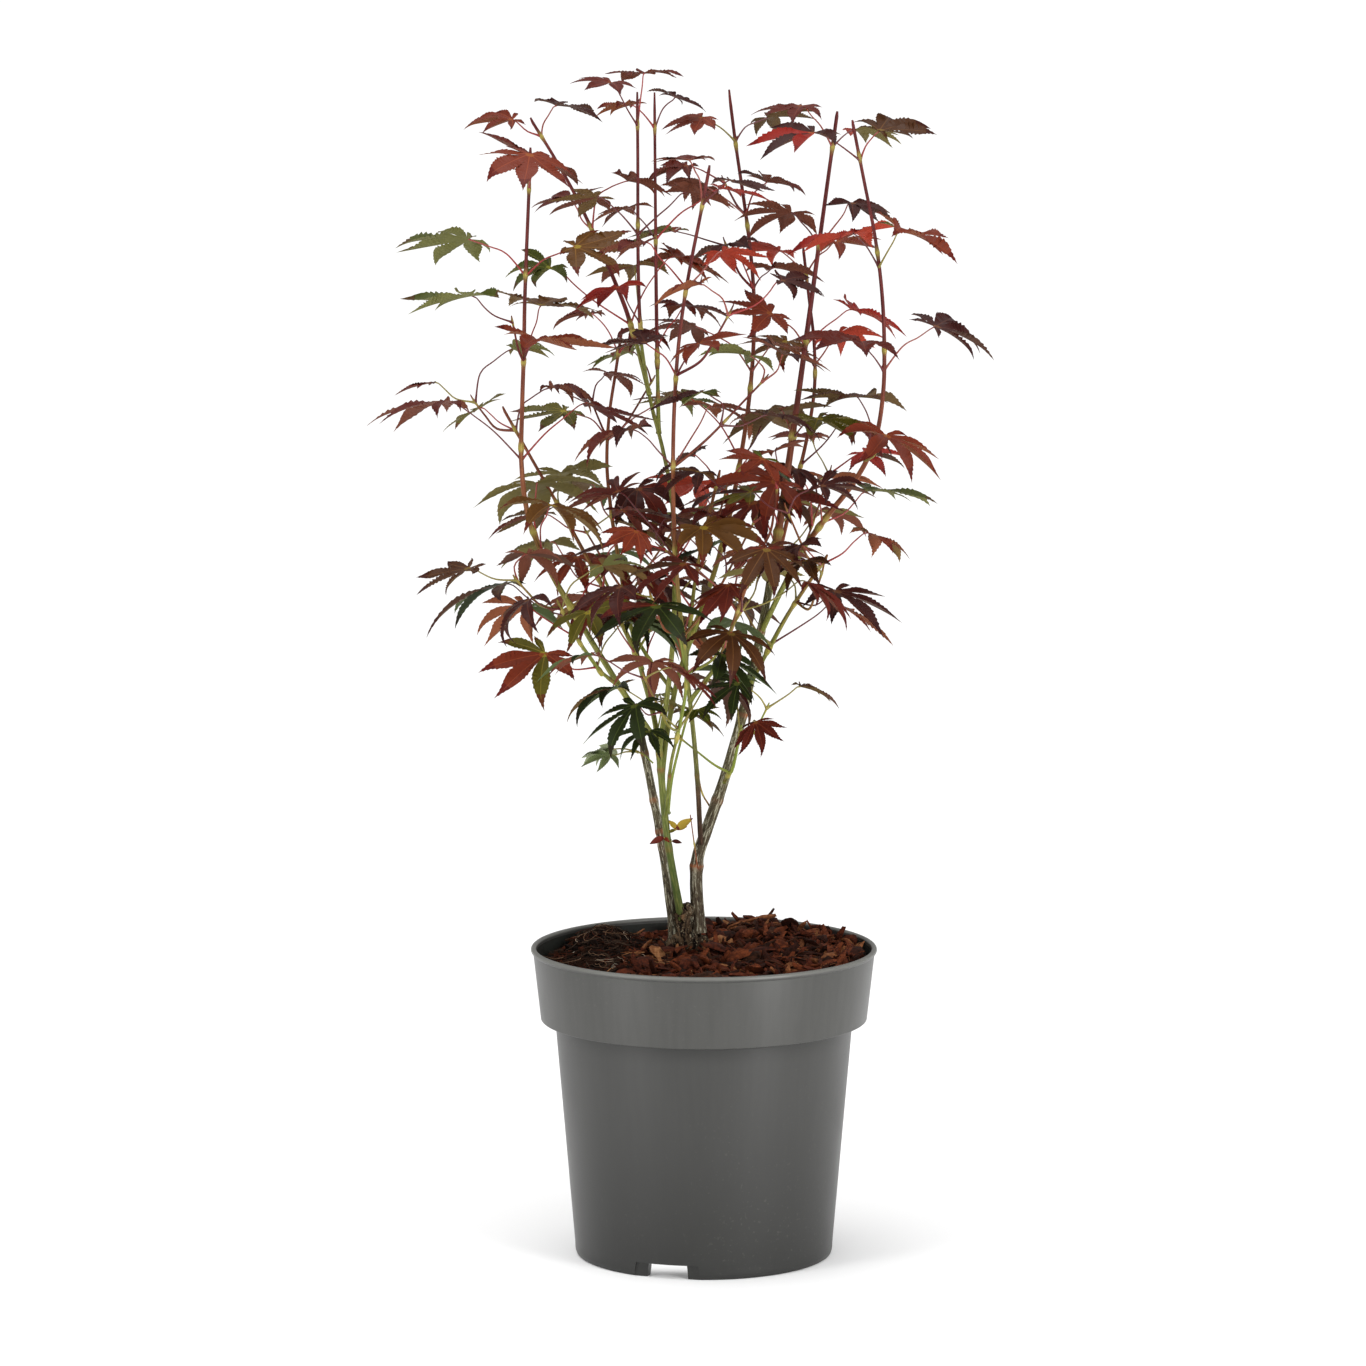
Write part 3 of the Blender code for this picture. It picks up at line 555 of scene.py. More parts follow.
def keep_room(leaf, owner, neighbours):
    """Adds a leaf to the surfaces that the next ones keep clear of."""
    neighbours.add_tube(leaf.stalk, STALK_SIDES, owner, is_limb=False)
    shape = blade_shape(leaf.length, TEST_HALF_THICKNESS / 2, leaf.place)
    mesh = bpy.data.meshes.new("blade")
    shape.to_mesh(mesh)
    shape.free()
    neighbours.add(mesh, owner, is_limb=False)
    bpy.data.meshes.remove(mesh)


def grow_twig(owner, limb, sizes, shares, first_turn, neighbours, rng):
    """Opposite pairs, each turned a quarter from the one below. A leaf with no room is left out."""
    leaves = []
    for pair, (size, share) in enumerate(zip(sizes, shares)):
        for side in (0, 180):
            turn = first_turn + TURN_PER_PAIR * pair + side
            for _ in range(LEAF_TRIES):
                length = size * rng.uniform(1 - SIZE_SPREAD, 1 + SIZE_SPREAD)
                leaf = try_leaf(limb, share, turn, length, rng)
                if has_room(leaf, owner, neighbours):
                    keep_room(leaf, owner, neighbours)
                    leaves.append(leaf)
                    break
    return Twig(limb, leaves, shares)


def grow_limbs(neighbours):
    """Every bare limb by name, and each leader with its shoot."""
    limbs, shoots = {}, []
    for stem in (*STEMS, *LEADERS):
        points = in_metres(stem.points)
        if stem.parent in limbs:
            points.insert(0, limbs[stem.parent].at(stem.at)[0])
        whole = Limb(smooth_run(points, LIMB_SPACING), stem.foot * MM, stem.tip * MM)
        is_leader = isinstance(stem, Leader)
        limbs[stem.name] = whole.part(0, stem.bough_share) if is_leader else whole
        node = stem.name + "_bough" if is_leader else stem.name
        neighbours.add(frame["nodes"][node].data, node)
        if is_leader:
            shoot = whole.part(stem.bough_share, 1, GAP)
            neighbours.add_tube(shoot, LIMB_SIDES, stem.name)
            shoots.append((stem, shoot))
    return limbs, shoots


def grow_leader(leader, shoot, neighbours):
    rises = [pair / max(1, leader.pairs - 1) for pair in range(leader.pairs)]
    shares = [FIRST_PAIR + (LAST_PAIR - FIRST_PAIR) * rise for rise in rises]
    sizes = [(leader.low_leaf + (leader.top_leaf - leader.low_leaf) * rise) * MM for rise in rises]
    return grow_twig(leader.name, shoot, sizes, shares, leader.turn, neighbours, random.Random(leader.seed))


def in_reach(leaf, box, extra=4 * MM):
    """Whether a leaf's tips stay inside the solids' box."""
    shape = blade_shape(leaf.length, TEST_HALF_THICKNESS, leaf.place)
    low, high = box
    found = all(low[i] - extra < v.co[i] < high[i] + extra for v in shape.verts for i in range(3))
    shape.free()
    return found


def grow_side_twigs(leader, twig, neighbours, box):
    """Finer twigs from the axils of a leader's shoot, each with a pair or two of smaller leaves."""
    rng = random.Random(TWIG_SEED + leader.seed * 7)
    grown = []
    for index, share in enumerate(twig.nodes):
        for side in (0, 180):
            height = twig.limb.at(share)[0].z
            if rng.random() > np.interp(height, SIDE_TWIG_HEIGHTS, SIDE_TWIG_CHANCES):
                continue
            turn = leader.turn + TURN_PER_PAIR * index + side
            for _ in range(SIDE_TWIG_TRIES):
                place, along, _ = twig.limb.at(share)
                out = outward(turn + rng.uniform(-SIDE_TWIG_SPREAD, SIDE_TWIG_SPREAD))
                across = (out - along * out.dot(along)).normalized()
                length = rng.uniform(*SIDE_TWIG_LENGTHS) * MM * (1 - 0.35 * share)
                low = place + (across * 0.8 + along * 0.6).normalized() * length * 0.35
                high = low + (out * 0.55 + upward(rng.uniform(0.35, 0.9))).normalized() * length * 0.65
                limb = Limb(smooth_run([place, low, high], LIMB_SPACING * 0.5), SIDE_TWIG_FOOT, SIDE_TWIG_TIP)
                tests = [limb.at(0.22 + 0.78 * i / 12)[0] for i in range(13)]
                if neighbours.are_near(tests, "", True):
                    continue
                owner = f"{leader.name}_{index}_{side}"
                shares = [0.55, 0.97] if length > LONG_SIDE_TWIG else [0.95]
                size = (leader.low_leaf + (leader.top_leaf - leader.low_leaf) * share) * MM * rng.uniform(0.78, 0.98)
                neighbours.add_tube(limb, LIMB_SIDES, owner)
                sizes = [size] * len(shares)
                side_twig = grow_twig(owner, limb, sizes, shares, rng.uniform(0, 90), neighbours, rng)
                side_twig.leaves[:] = [leaf for leaf in side_twig.leaves if in_reach(leaf, box)]
                if side_twig.leaves:
                    grown.append(side_twig)
                break
    return grown


# ---- Finishes ----


def linear(colour):
    """A colour on a screen's scale of 0 to 255, as the light it stands for."""
    return tuple(((c / 255 + 0.055) / 1.055) ** 2.4 if c > 10 else c / 255 / 12.92 for c in colour)


class Value:
    """A number that varies over a surface. Expressions on values add the Math nodes that work them out."""

    def __init__(self, finish, socket):
        self.finish = finish
        self.socket = socket

    def math(self, operation, first, second):
        return self.finish.node("ShaderNodeMath", {"operation": operation}, {0: first, 1: second})

    def __add__(self, other):
        return self.math("ADD", self, other)

    def __sub__(self, other):
        return self.math("SUBTRACT", self, other)

    def __rsub__(self, other):
        return self.math("SUBTRACT", other, self)

    def __mul__(self, other):
        return self.math("MULTIPLY", self, other)

    __radd__ = __add__
    __rmul__ = __mul__

    def ramp(self, low, high):
        """0 up to low, 1 from high, and a smooth rise between."""
        sockets = {"Value": self, "From Min": low, "From Max": high}
        return self.finish.node("ShaderNodeMapRange", {"interpolation_type": "SMOOTHSTEP"}, sockets)


class Finish:
    """A material and the nodes that paint it."""

    def __init__(self, name, colour, roughness, shine=0.5):
        self.material = bpy.data.materials.new(name)
        self.material.use_nodes = True
        self.material.diffuse_color = (*linear(colour), 1)
        self.tree = self.material.node_tree
        self.shader = self.tree.nodes["Principled BSDF"]
        self.feed("Base Color", (*linear(colour), 1))
        self.feed("Roughness", roughness)
        self.feed("Specular IOR Level", shine)

    def node(self, kind, settings, sockets, output=0):
        """A node with its settings made first, then its sockets given values or links."""
        made = self.tree.nodes.new(kind)
        for name, value in settings.items():
            setattr(made, name, value)
        for name, value in sockets.items():
            self.join(made.inputs[name], value)
        return Value(self, made.outputs[output])

    def join(self, socket, value):
        if isinstance(value, Value):
            self.tree.links.new(value.socket, socket)
        else:
            socket.default_value = value

    def feed(self, name, value):
        self.join(self.shader.inputs[name], value)

    def places(self, stretch=(1, 1, 1), attribute=None):
        """Where a point lies, stretched: on the object, or in a vector attribute of its surface."""
        where = self.mark(attribute, "Vector") if attribute else self.node("ShaderNodeTexCoord", {}, {}, "Object")
        return self.node("ShaderNodeMapping", {}, {"Vector": where, "Scale": stretch})

    def along(self, axis):
        return self.node("ShaderNodeSeparateXYZ", {}, {0: self.places()}, axis)

    def height(self, low, high):
        """0 below one height on the object and 1 above another, in metres."""
        return self.along(2).ramp(low, high)

    def mark(self, attribute, output="Fac"):
        """A number that the mesh carries at each point."""
        return self.node("ShaderNodeAttribute", {"attribute_name": attribute}, {}, output)

    def noise(self, scale, detail=3, rough=0.55, stretch=(1, 1, 1), attribute=None):
        where = self.places(stretch, attribute)
        sockets = {"Scale": scale, "Detail": detail, "Roughness": rough, "Vector": where}
        return self.node("ShaderNodeTexNoise", {}, sockets)

    def coats(self, tone, *coats):
        """A tone with coats over it, each a share from 0 to 1 and a colour."""
        for share, coat in coats:
            sockets = {0: share}
            for index, colour in ((6, tone), (7, coat)):
                sockets[index] = colour if isinstance(colour, Value) else (*linear(colour), 1)
            tone = self.node("ShaderNodeMix", {"data_type": "RGBA"}, sockets, 2)
        return tone

    def paint(self, tone, height, depth, strength=1.0):
        """The material with its tone, and a relief whose height of 0 to 1 spans a depth in metres."""
        self.feed("Base Color", tone)
        sockets = {"Height": height, "Distance": depth, "Strength": strength}
        self.feed("Normal", self.node("ShaderNodeBump", {}, sockets))
        return self.material


def pot_plastic():
    """Satin grey polypropylene: faint mould flow up the wall, hazy scuffs and a fine moulded grain."""
    finish = Finish("pot_plastic", (92, 92, 89), 0.42, 0.42)
    haze = finish.noise(11, 4, 0.6).ramp(0.35, 0.75)
    flow = finish.noise(1, 3, 0.5, (260, 260, 9))
    scuffs = finish.noise(1, 5, 0.7, (90, 90, 420)).ramp(0.63, 0.78)
    dust = finish.noise(520, 2, 0.5).ramp(0.62, 0.74)
    grain = finish.noise(2600, 2, 0.5)
    collar = finish.height(0.1300, 0.1312)
    tone = finish.coats(
        (33, 33, 31),
        (haze, (39, 39, 37)),
        # Painted shade: the body is lighter towards the collar and darker towards the foot.
        (finish.height(-0.01, 0.12) * 0.7, (59, 59, 57)),
        # Painted shade under the collar's overhang, and the painted highlight on the rim's lip last.
        (finish.height(0.118, 0.1298) * (1 - collar) * 0.6, (35, 35, 33)),
        # Painted light: the collar is lighter than the body below it.
        (collar * 0.6, (68, 68, 65)),
        (flow.ramp(0.3, 0.8) * 0.25, (42, 42, 40)),
        (scuffs * haze * 0.25, (92, 92, 88)),
        (dust * haze * 0.15, (116, 112, 104)),
        # Painted highlight: a pale line round the top of the rim's bead.
        (finish.height(0.1685, 0.1702) * 0.4, (140, 140, 134)),
    )
    finish.feed("Roughness", 0.36 + haze * 0.08 + scuffs * 0.12)
    return finish.paint(tone, grain * 0.7 + flow * 0.3, 0.00006, 0.5)


def stained_plastic():
    """The pot's inner wall: painted shade makes it darker, and it is dull and smeared with soil."""
    finish = Finish("stained_plastic", (34, 36, 32), 0.6, 0.2)
    smears = finish.noise(1, 5, 0.65, (70, 70, 160)).ramp(0.45, 0.65)
    specks = finish.noise(700, 2, 0.5).ramp(0.60, 0.70)
    tone = finish.coats((36, 38, 34), (smears * 0.7, (20, 17, 13)), (specks * 0.5, (34, 22, 15)))
    return finish.paint(tone, smears * 0.5 + specks * 0.5, 0.0002, 0.6)


def potting_soil():
    """Damp dark peat with paler crumbs."""
    finish = Finish("potting_soil", (38, 28, 22), 0.95, 0.05)
    clods = finish.noise(190, 6, 0.7)
    cells = finish.node("ShaderNodeTexVoronoi", {}, {"Scale": 900, "Vector": finish.places()})
    tone = finish.coats((14, 7, 4), (clods.ramp(0.35, 0.7), (44, 27, 18)), (cells.ramp(0.1, 0.5) * 0.4, (24, 14, 9)))
    return finish.paint(tone, clods, 0.0012)


def chip_bark(name, dark, light):
    """Shredded conifer bark: fibres of two tones and a rough face."""
    finish = Finish(name, dark, 0.8, 0.12)
    fibres = finish.noise(1, 4, 0.65, (420, 420, 900))
    blotches = finish.noise(130, 3, 0.6)
    tone = finish.coats(dark, ((fibres * 0.7 + blotches * 0.5).ramp(0.45, 0.8), light))
    return finish.paint(tone, fibres, 0.0006, 0.8)


def old_bark(name, ground, streak, crack):
    """Smooth grey maple bark: long pale streaks and dark cracks that follow the limb, and rusty bud scars."""
    finish = Finish(name, ground, 0.7, 0.2)
    bands = finish.noise(1150, 5, 0.65, (1, 1, 0.10), "grain")
    cracks = finish.noise(1500, 4, 0.65, (1, 1, 0.2), "grain")
    patches = finish.noise(160, 3, 0.6, (1, 1, 0.4), "grain")
    green = finish.mark("green")
    lime = finish.coats((106, 110, 42), (bands.ramp(0.4, 0.65), (142, 142, 72)))
    fresh = finish.coats(
        (58, 76, 24),
        (bands.ramp(0.4, 0.65), (100, 106, 50)),
        (finish.height(0.20, 0.33), lime),
        (cracks.ramp(0.56, 0.64) * 0.6, (88, 78, 46)),
    )
    tone = finish.coats(
        ground,
        (patches.ramp(0.35, 0.7), finish.coats(ground, (0.5, crack))),
        (bands.ramp(0.53, 0.58), streak),
        (cracks.ramp(0.55, 0.60), crack),
        (green, fresh),
        (finish.mark("red"), finish.coats((44, 30, 24), (bands.ramp(0.35, 0.7), (80, 54, 40)))),
        (finish.mark("scar"), finish.coats((150, 84, 44), (patches.ramp(0.4, 0.6), (96, 62, 40)))),
    )
    finish.feed("Roughness", 0.72 - green * 0.22)
    return finish.paint(tone, cracks * -0.6 + bands * 0.5, 0.0003, 0.7)


def young_bark():
    """A shoot's skin: olive at its foot to wine red at its tip, faintly streaked, with yellow-green nodes."""
    finish = Finish("young_bark", (110, 52, 44), 0.5, 0.2)
    streaks = finish.noise(1400, 3, 0.55, (1, 1, 0.05), "grain").ramp(0.35, 0.7)
    pairs = (
        ((106, 118, 44), (138, 146, 68)),
        ((108, 56, 34), (140, 84, 52)),
        ((74, 24, 25), (112, 44, 40)),
        ((150, 140, 62), (176, 158, 84)),
    )
    foot, middle, tip, node = (finish.coats(dull, (streaks, bright)) for dull, bright in pairs)
    red = finish.mark("red")
    tone = finish.coats(foot, (red.ramp(0.0, 0.45), middle), (red.ramp(0.4, 0.9), tip), (finish.mark("node"), node))
    return finish.paint(tone, streaks, 0.00008, 0.6)


def clump_bark():
    """Rough grey-brown bark with streaked feet below the two grey stems, and painted shade in a dark hollow."""
    finish = Finish("clump_bark", (104, 92, 76), 0.85, 0.12)
    grooves = finish.noise(1, 5, 0.65, (420, 420, 110))
    streaks = finish.noise(1, 5, 0.65, (900, 900, 120))
    patches = finish.noise(150, 4, 0.6)
    specks = finish.noise(900, 2, 0.5)
    across = finish.along(0)
    feet = 1 - across.ramp(-0.0205, -0.0165) * (1 - across.ramp(-0.0085, -0.0045))
    feet = feet * finish.height(0.171, 0.184) * 0.85
    sockets = {0: finish.places(), 1: (-0.0131, -0.001, 0.187)}
    hollow = finish.node("ShaderNodeVectorMath", {"operation": "DISTANCE"}, sockets, "Value")
    tone = finish.coats(
        (44, 29, 19),
        (patches.ramp(0.35, 0.65), (94, 76, 57)),
        (grooves.ramp(0.46, 0.56), (17, 8, 4)),
        (specks.ramp(0.60, 0.68) * 0.6, (158, 146, 120)),
        (feet * streaks.ramp(0.50, 0.58), (158, 152, 130)),
        ((1 - hollow.ramp(0.0042, 0.0072)) * patches.ramp(0.3, 0.5), (124, 94, 66)),
        # Painted shade: near black deep in the hollow.
        (1 - hollow.ramp(0.0026, 0.0044), (13, 6, 3)),
    )
    return finish.paint(tone, grooves * 0.7 + specks * 0.3, 0.0006, 0.8)


# Leaf colours, as dealt out to whole leaves: heart, rib, blade, edge, underside.
LEAF_TINTS = {
    "wine": ((132, 76, 40), (124, 56, 38), (90, 33, 24), (76, 22, 20), (104, 60, 45)),
    "plum": ((104, 66, 42), (92, 50, 38), (60, 25, 21), (50, 17, 17), (86, 60, 49)),
    "umber": ((118, 92, 42), (104, 68, 36), (71, 41, 20), (58, 24, 15), (90, 70, 44)),
    "brick": ((144, 78, 38), (142, 66, 38), (114, 46, 28), (92, 28, 20), (124, 72, 48)),
    "scarlet": ((168, 74, 36), (170, 54, 36), (142, 33, 23), (116, 24, 20), (154, 58, 42)),
    "bronze": ((150, 126, 46), (132, 92, 40), (94, 61, 27), (92, 36, 22), (106, 82, 48)),
    "olive": ((146, 134, 46), (126, 112, 42), (86, 80, 25), (86, 46, 24), (110, 100, 58)),
    "leaf_green": ((136, 136, 46), (110, 112, 40), (70, 76, 22), (76, 54, 24), (104, 104, 60)),
    "pale_green": ((140, 150, 96), (142, 152, 108), (104, 116, 76), (98, 106, 74), (140, 148, 116)),
    "deep_green": ((88, 96, 38), (68, 80, 34), (35, 44, 17), (36, 32, 17), (76, 86, 54)),
}
# Each part of a leaf: roughness and shine.
LEAF_PARTS = {
    "heart": (0.5, 0.11), "rib": (0.5, 0.11), "blade": (0.42, 0.11), "edge": (0.45, 0.11), "underside": (0.62, 0.06)
}
STALK_TINTS = {
    "stalk_red": (142, 38, 34),
    "stalk_wine": (92, 28, 30),
    "stalk_rose": (138, 62, 50),
    "stalk_olive": (130, 118, 52),
}


def leaf_finishes():
    """One plain finish for each part of a leaf in each tint."""
    return {
        (tint, part): Finish(tint + "_" + part, colour, *LEAF_PARTS[part]).material
        for tint, colours in LEAF_TINTS.items()
        for part, colour in zip(LEAF_PARTS, colours)
    }


# ---- Pieces ----


def add_object(name, data):
    made = bpy.data.objects.new(name, data)
    bpy.context.scene.collection.objects.link(made)
    return made


def settle(piece, slot, *nodes):
    """Ties a finished piece to the frame."""
    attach(piece, "root")
    if nodes:
        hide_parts(*nodes)


class Stack:
    """Many small shapes gathered into the arrays of one mesh."""

    def __init__(self):
        self.places, self.faces, self.slots = [], [], []
        self.marks = {}
        self.count = 0

    def add(self, places, faces, slots=0, **marks):
        self.places.append(np.asarray(places, np.float32))
        self.faces += [tuple(self.count + corner for corner in face) for face in faces]
        self.slots += slots if isinstance(slots, list) else [slots] * len(faces)
        for name, values in marks.items():
            self.marks.setdefault(name, []).append(np.asarray(values, np.float32))
        self.count += len(places)

    def make(self, name, finishes, crease):
        mesh = bpy.data.meshes.new(name)
        mesh.from_pydata(np.concatenate(self.places), [], self.faces)
        used = sorted(set(self.slots))
        for slot in used:
            mesh.materials.append(finishes[slot])
        mesh.polygons.foreach_set("material_index", [used.index(slot) for slot in self.slots])
        for mark, values in self.marks.items():
            values = np.concatenate(values)
            kind, item = ("FLOAT_VECTOR", "vector") if values.ndim == 2 else ("FLOAT", "value")
            mesh.attributes.new(mark, kind, "POINT").data.foreach_set(item, values.ravel())
        mesh.shade_smooth()
        mesh.set_sharp_from_angle(angle=math.radians(crease))
        mesh.update()
        return add_object(name, mesh)


# ---- Limbs, shoots and stalks ----


def lengths_along(path):
    """The length of a path up to each of its points."""
    return np.concatenate([[0], np.cumsum(np.linalg.norm(np.diff(path, axis=0), axis=1))])


def spread_along(points, radii, spacing):
    """A limb's path and radii again, at an even spacing, with the length up to each point."""
    path = np.array(smooth_run(points, spacing))
    run, knots = lengths_along(path), lengths_along(np.array(points))
    return path, np.interp(run / run[-1], knots / knots[-1], radii), run


def tube_arrays(path, radii, sides, relief=0):
    """Points and faces of a closed tube, its rings turning as little as they can."""
    along = np.gradient(path, axis=0)
    along /= np.linalg.norm(along, axis=1, keepdims=True)
    side = np.cross(along[0], (0.3, 0.9, 0.1))
    firsts = []
    for direction in along:
        side = side - direction * side.dot(direction)
        side /= np.linalg.norm(side)
        firsts.append(side)
    first = np.array(firsts)
    second = np.cross(along, first)
    turns = turns_round(sides)
    rings = first[:, None] * np.cos(turns)[None, :, None] + second[:, None] * np.sin(turns)[None, :, None]
    reach = np.broadcast_to(np.asarray(radii)[:, None], (len(path), sides)) + relief
    places = path[:, None] + rings * reach[..., None]
    return places.reshape(-1, 3), tube_faces(len(path), sides)


def tube_faces(rings, sides):
    """A closed tube's faces: its foot, its rows of sides, its tip."""
    faces = [tuple(reversed(range(sides)))]
    for low in range(0, (rings - 1) * sides, sides):
        for i in range(sides):
            j = (i + 1) % sides
            faces.append((low + i, low + j, low + sides + j, low + sides + i))
    return [*faces, tuple((rings - 1) * sides + i for i in range(sides))]


def turns_round(sides):
    return np.arange(sides) * 2 * math.pi / sides


def bumps(run, centres, width):
    """1 at each centre along a run and 0 a width away."""
    total = np.zeros_like(run)
    for centre in centres:
        total = np.maximum(total, np.exp(-(((run - centre) / width) ** 2)))
    return total


def bark_relief(run, turns, radius, seed, depth):
    """Long shallow ridges and a few pits on a limb."""
    heights = np.zeros((len(run), len(turns)))
    for i, length in enumerate(run):
        for j, turn in enumerate(turns):
            around = Vector((math.cos(turn), math.sin(turn), 0)) * radius * 900
            ridge = noise.noise(around + Vector((seed, 0, length * 110)))
            lump = noise.noise(around * 0.35 + Vector((0, seed, length * 60)))
            heights[i, j] = ridge * 0.6 + lump * 0.9
    return heights * depth


def grain_along(run, sides, radius, seed):
    """Where the points of a limb lie once it is straightened, for its bark to follow."""
    grain = np.zeros((len(run), sides, 3))
    grain[..., 0] = np.cos(turns_round(sides)) * radius
    grain[..., 1] = np.sin(turns_round(sides)) * radius
    grain[..., 2] = run[:, None] + seed
    return grain.reshape(-1, 3)


def add_limb(stack, limb, seed, sides, spacing, depth, scars, green, red, flare):
    """A bare limb with its bark: scars are shares of its length where bud scars ring it."""
    path, radii, run = spread_along(limb.points, limb.radii, spacing)
    share = run / run[-1]
    centres = [scar * run[-1] for scar in scars]
    swell = bumps(run, centres, 2.6 * MM)
    ring = bumps(run, [c + d * MM for c in centres for d in (-0.9, 0.5)], 0.38 * MM)
    radii = radii * (1 + 0.12 * swell + 0.06 * ring)
    radii = radii + flare[0] * MM * np.exp(-run / (flare[1] * MM))
    relief = bark_relief(run, turns_round(sides), radii.mean(), seed, depth)
    marks = {
        "green": np.interp(share, (0, 1), green),
        "red": np.interp(share, (0, 0.33, 0.4, 1), red),
        "scar": np.clip(ring + 0.12 * swell, 0, 1) * 0.8,
    }
    marks = {name: np.repeat(values, sides) for name, values in marks.items()}
    grain = grain_along(run, sides, radii.mean(), seed)
    stack.add(*tube_arrays(path, radii, sides, relief), grain=grain, **marks)


def add_shoot(stack, limb, nodes, red, seed, sides=8, spacing=2.2 * MM, bare_tip=0):
    """A shoot, thicker at its nodes and redder high in the crown, with a bare tip past its last pair."""
    points, radii = list(limb.points), list(limb.radii)
    length = sum((b - a).length for a, b in zip(points, points[1:]))
    if bare_tip:
        points.append(points[-1] + (limb.at(1)[1] + upward(0.25)).normalized() * bare_tip)
        radii.append(radii[-1] * 0.62)
    path, radii, run = spread_along(points, radii, spacing)
    near = bumps(run, [node * length for node in nodes], 2.1 * MM)
    redness = np.clip(np.interp(path[:, 2], *RED_BY_HEIGHT) + red, 0, 1)
    stack.add(
        *tube_arrays(path, radii * (1 + 0.42 * near), sides),
        grain=grain_along(run, sides, 1 * MM, seed),
        red=np.repeat(redness, sides),
        node=np.repeat(near, sides),
    )


def add_bud(stack, place, direction, length, radius, red=0.9):
    """A small pointed bud in an axil."""
    path = np.array(place) + np.array(direction) * (np.array([0, 0.25, 0.5, 0.75, 1]) * length)[:, None]
    places, faces = tube_arrays(path, radius * np.array([0.75, 1, 0.85, 0.5, 0.12]), 6)
    count = len(places)
    stack.add(places, faces, grain=np.zeros((count, 3)), red=np.full(count, red), node=np.zeros(count))


def add_stalk(stack, leaf, slot, rng):
    """A leaf's stalk, a little bowed and ending level with the blade."""
    node, bend, middle = (np.array(p) for p in leaf.stalk.points)
    forward = np.array(leaf.place.to_3x3() @ Vector((1, 0, 0)))
    reach = np.linalg.norm(middle - node)
    sag = np.array((rng.uniform(-1, 1), rng.uniform(-1, 1), rng.uniform(-0.6, 0.6))) * 0.035 * reach
    low = node + (bend - node) * 0.9
    high = middle - forward * 0.10 * reach - np.array((0, 0, 0.05 * reach))
    points = [Vector(p) for p in (node, low + sag * 0.6, (bend + high) / 2 + sag, high, middle)]
    path = np.array(smooth_run(points, 2.4 * MM))
    run = lengths_along(path)
    radii = (STALK_FOOT + (STALK_TIP - STALK_FOOT) * np.sqrt(run / run[-1])) / 2
    radii = radii * (1 + 0.55 * np.exp(-run / (1.6 * MM)) + 0.35 * np.exp(-(run[-1] - run) / (1.2 * MM)))
    stack.add(*tube_arrays(path, radii, 6), slot)


# ---- Leaves ----

# Faces of a lobe by kind. A row's corners are 0, its right margin, 1 and 2, beside the rib, 3, its left
# margin, and 4, below. The next row out has 5 to 9, and "skin" is blade or edge.
# From the heart: 5 and 6 are its upper and lower middle, 7 and 8 the seams' lower ends.
HEART_FACES = (("heart", ((5, 0, 1), (5, 1, 2), (5, 2, 3))), ("underside", ((6, 4, 7), (6, 8, 4))))
# Over the palm: 10 and 11 are the seams' lower ends.
PALM_FACES = (
    ("blade", ((0, 5, 6, 1),)),
    ("rib", ((1, 6, 7, 2),)),
    ("blade", ((2, 7, 8, 3),)),
    ("underside", ((10, 4, 9, 5), (4, 11, 8, 9))),
)
# Between free rows: 10 is the right tooth and 11 the left one. Both faces of the leaf split alike.
TOOTH_FACES = (
    ("skin", ((1, 0, 10), (1, 10, 6), (10, 5, 6))),
    ("rib", ((1, 6, 7, 2),)),
    ("skin", ((2, 11, 3), (2, 7, 11), (7, 8, 11))),
    ("underside", ((0, 4, 10), (4, 9, 10), (9, 5, 10), (4, 3, 11), (4, 11, 9), (9, 11, 8))),
)
# At the point, 5.
TIP_FACES = (("edge", ((0, 5, 1), (1, 5, 2), (2, 5, 3))), ("underside", ((4, 5, 0), (4, 3, 5))))


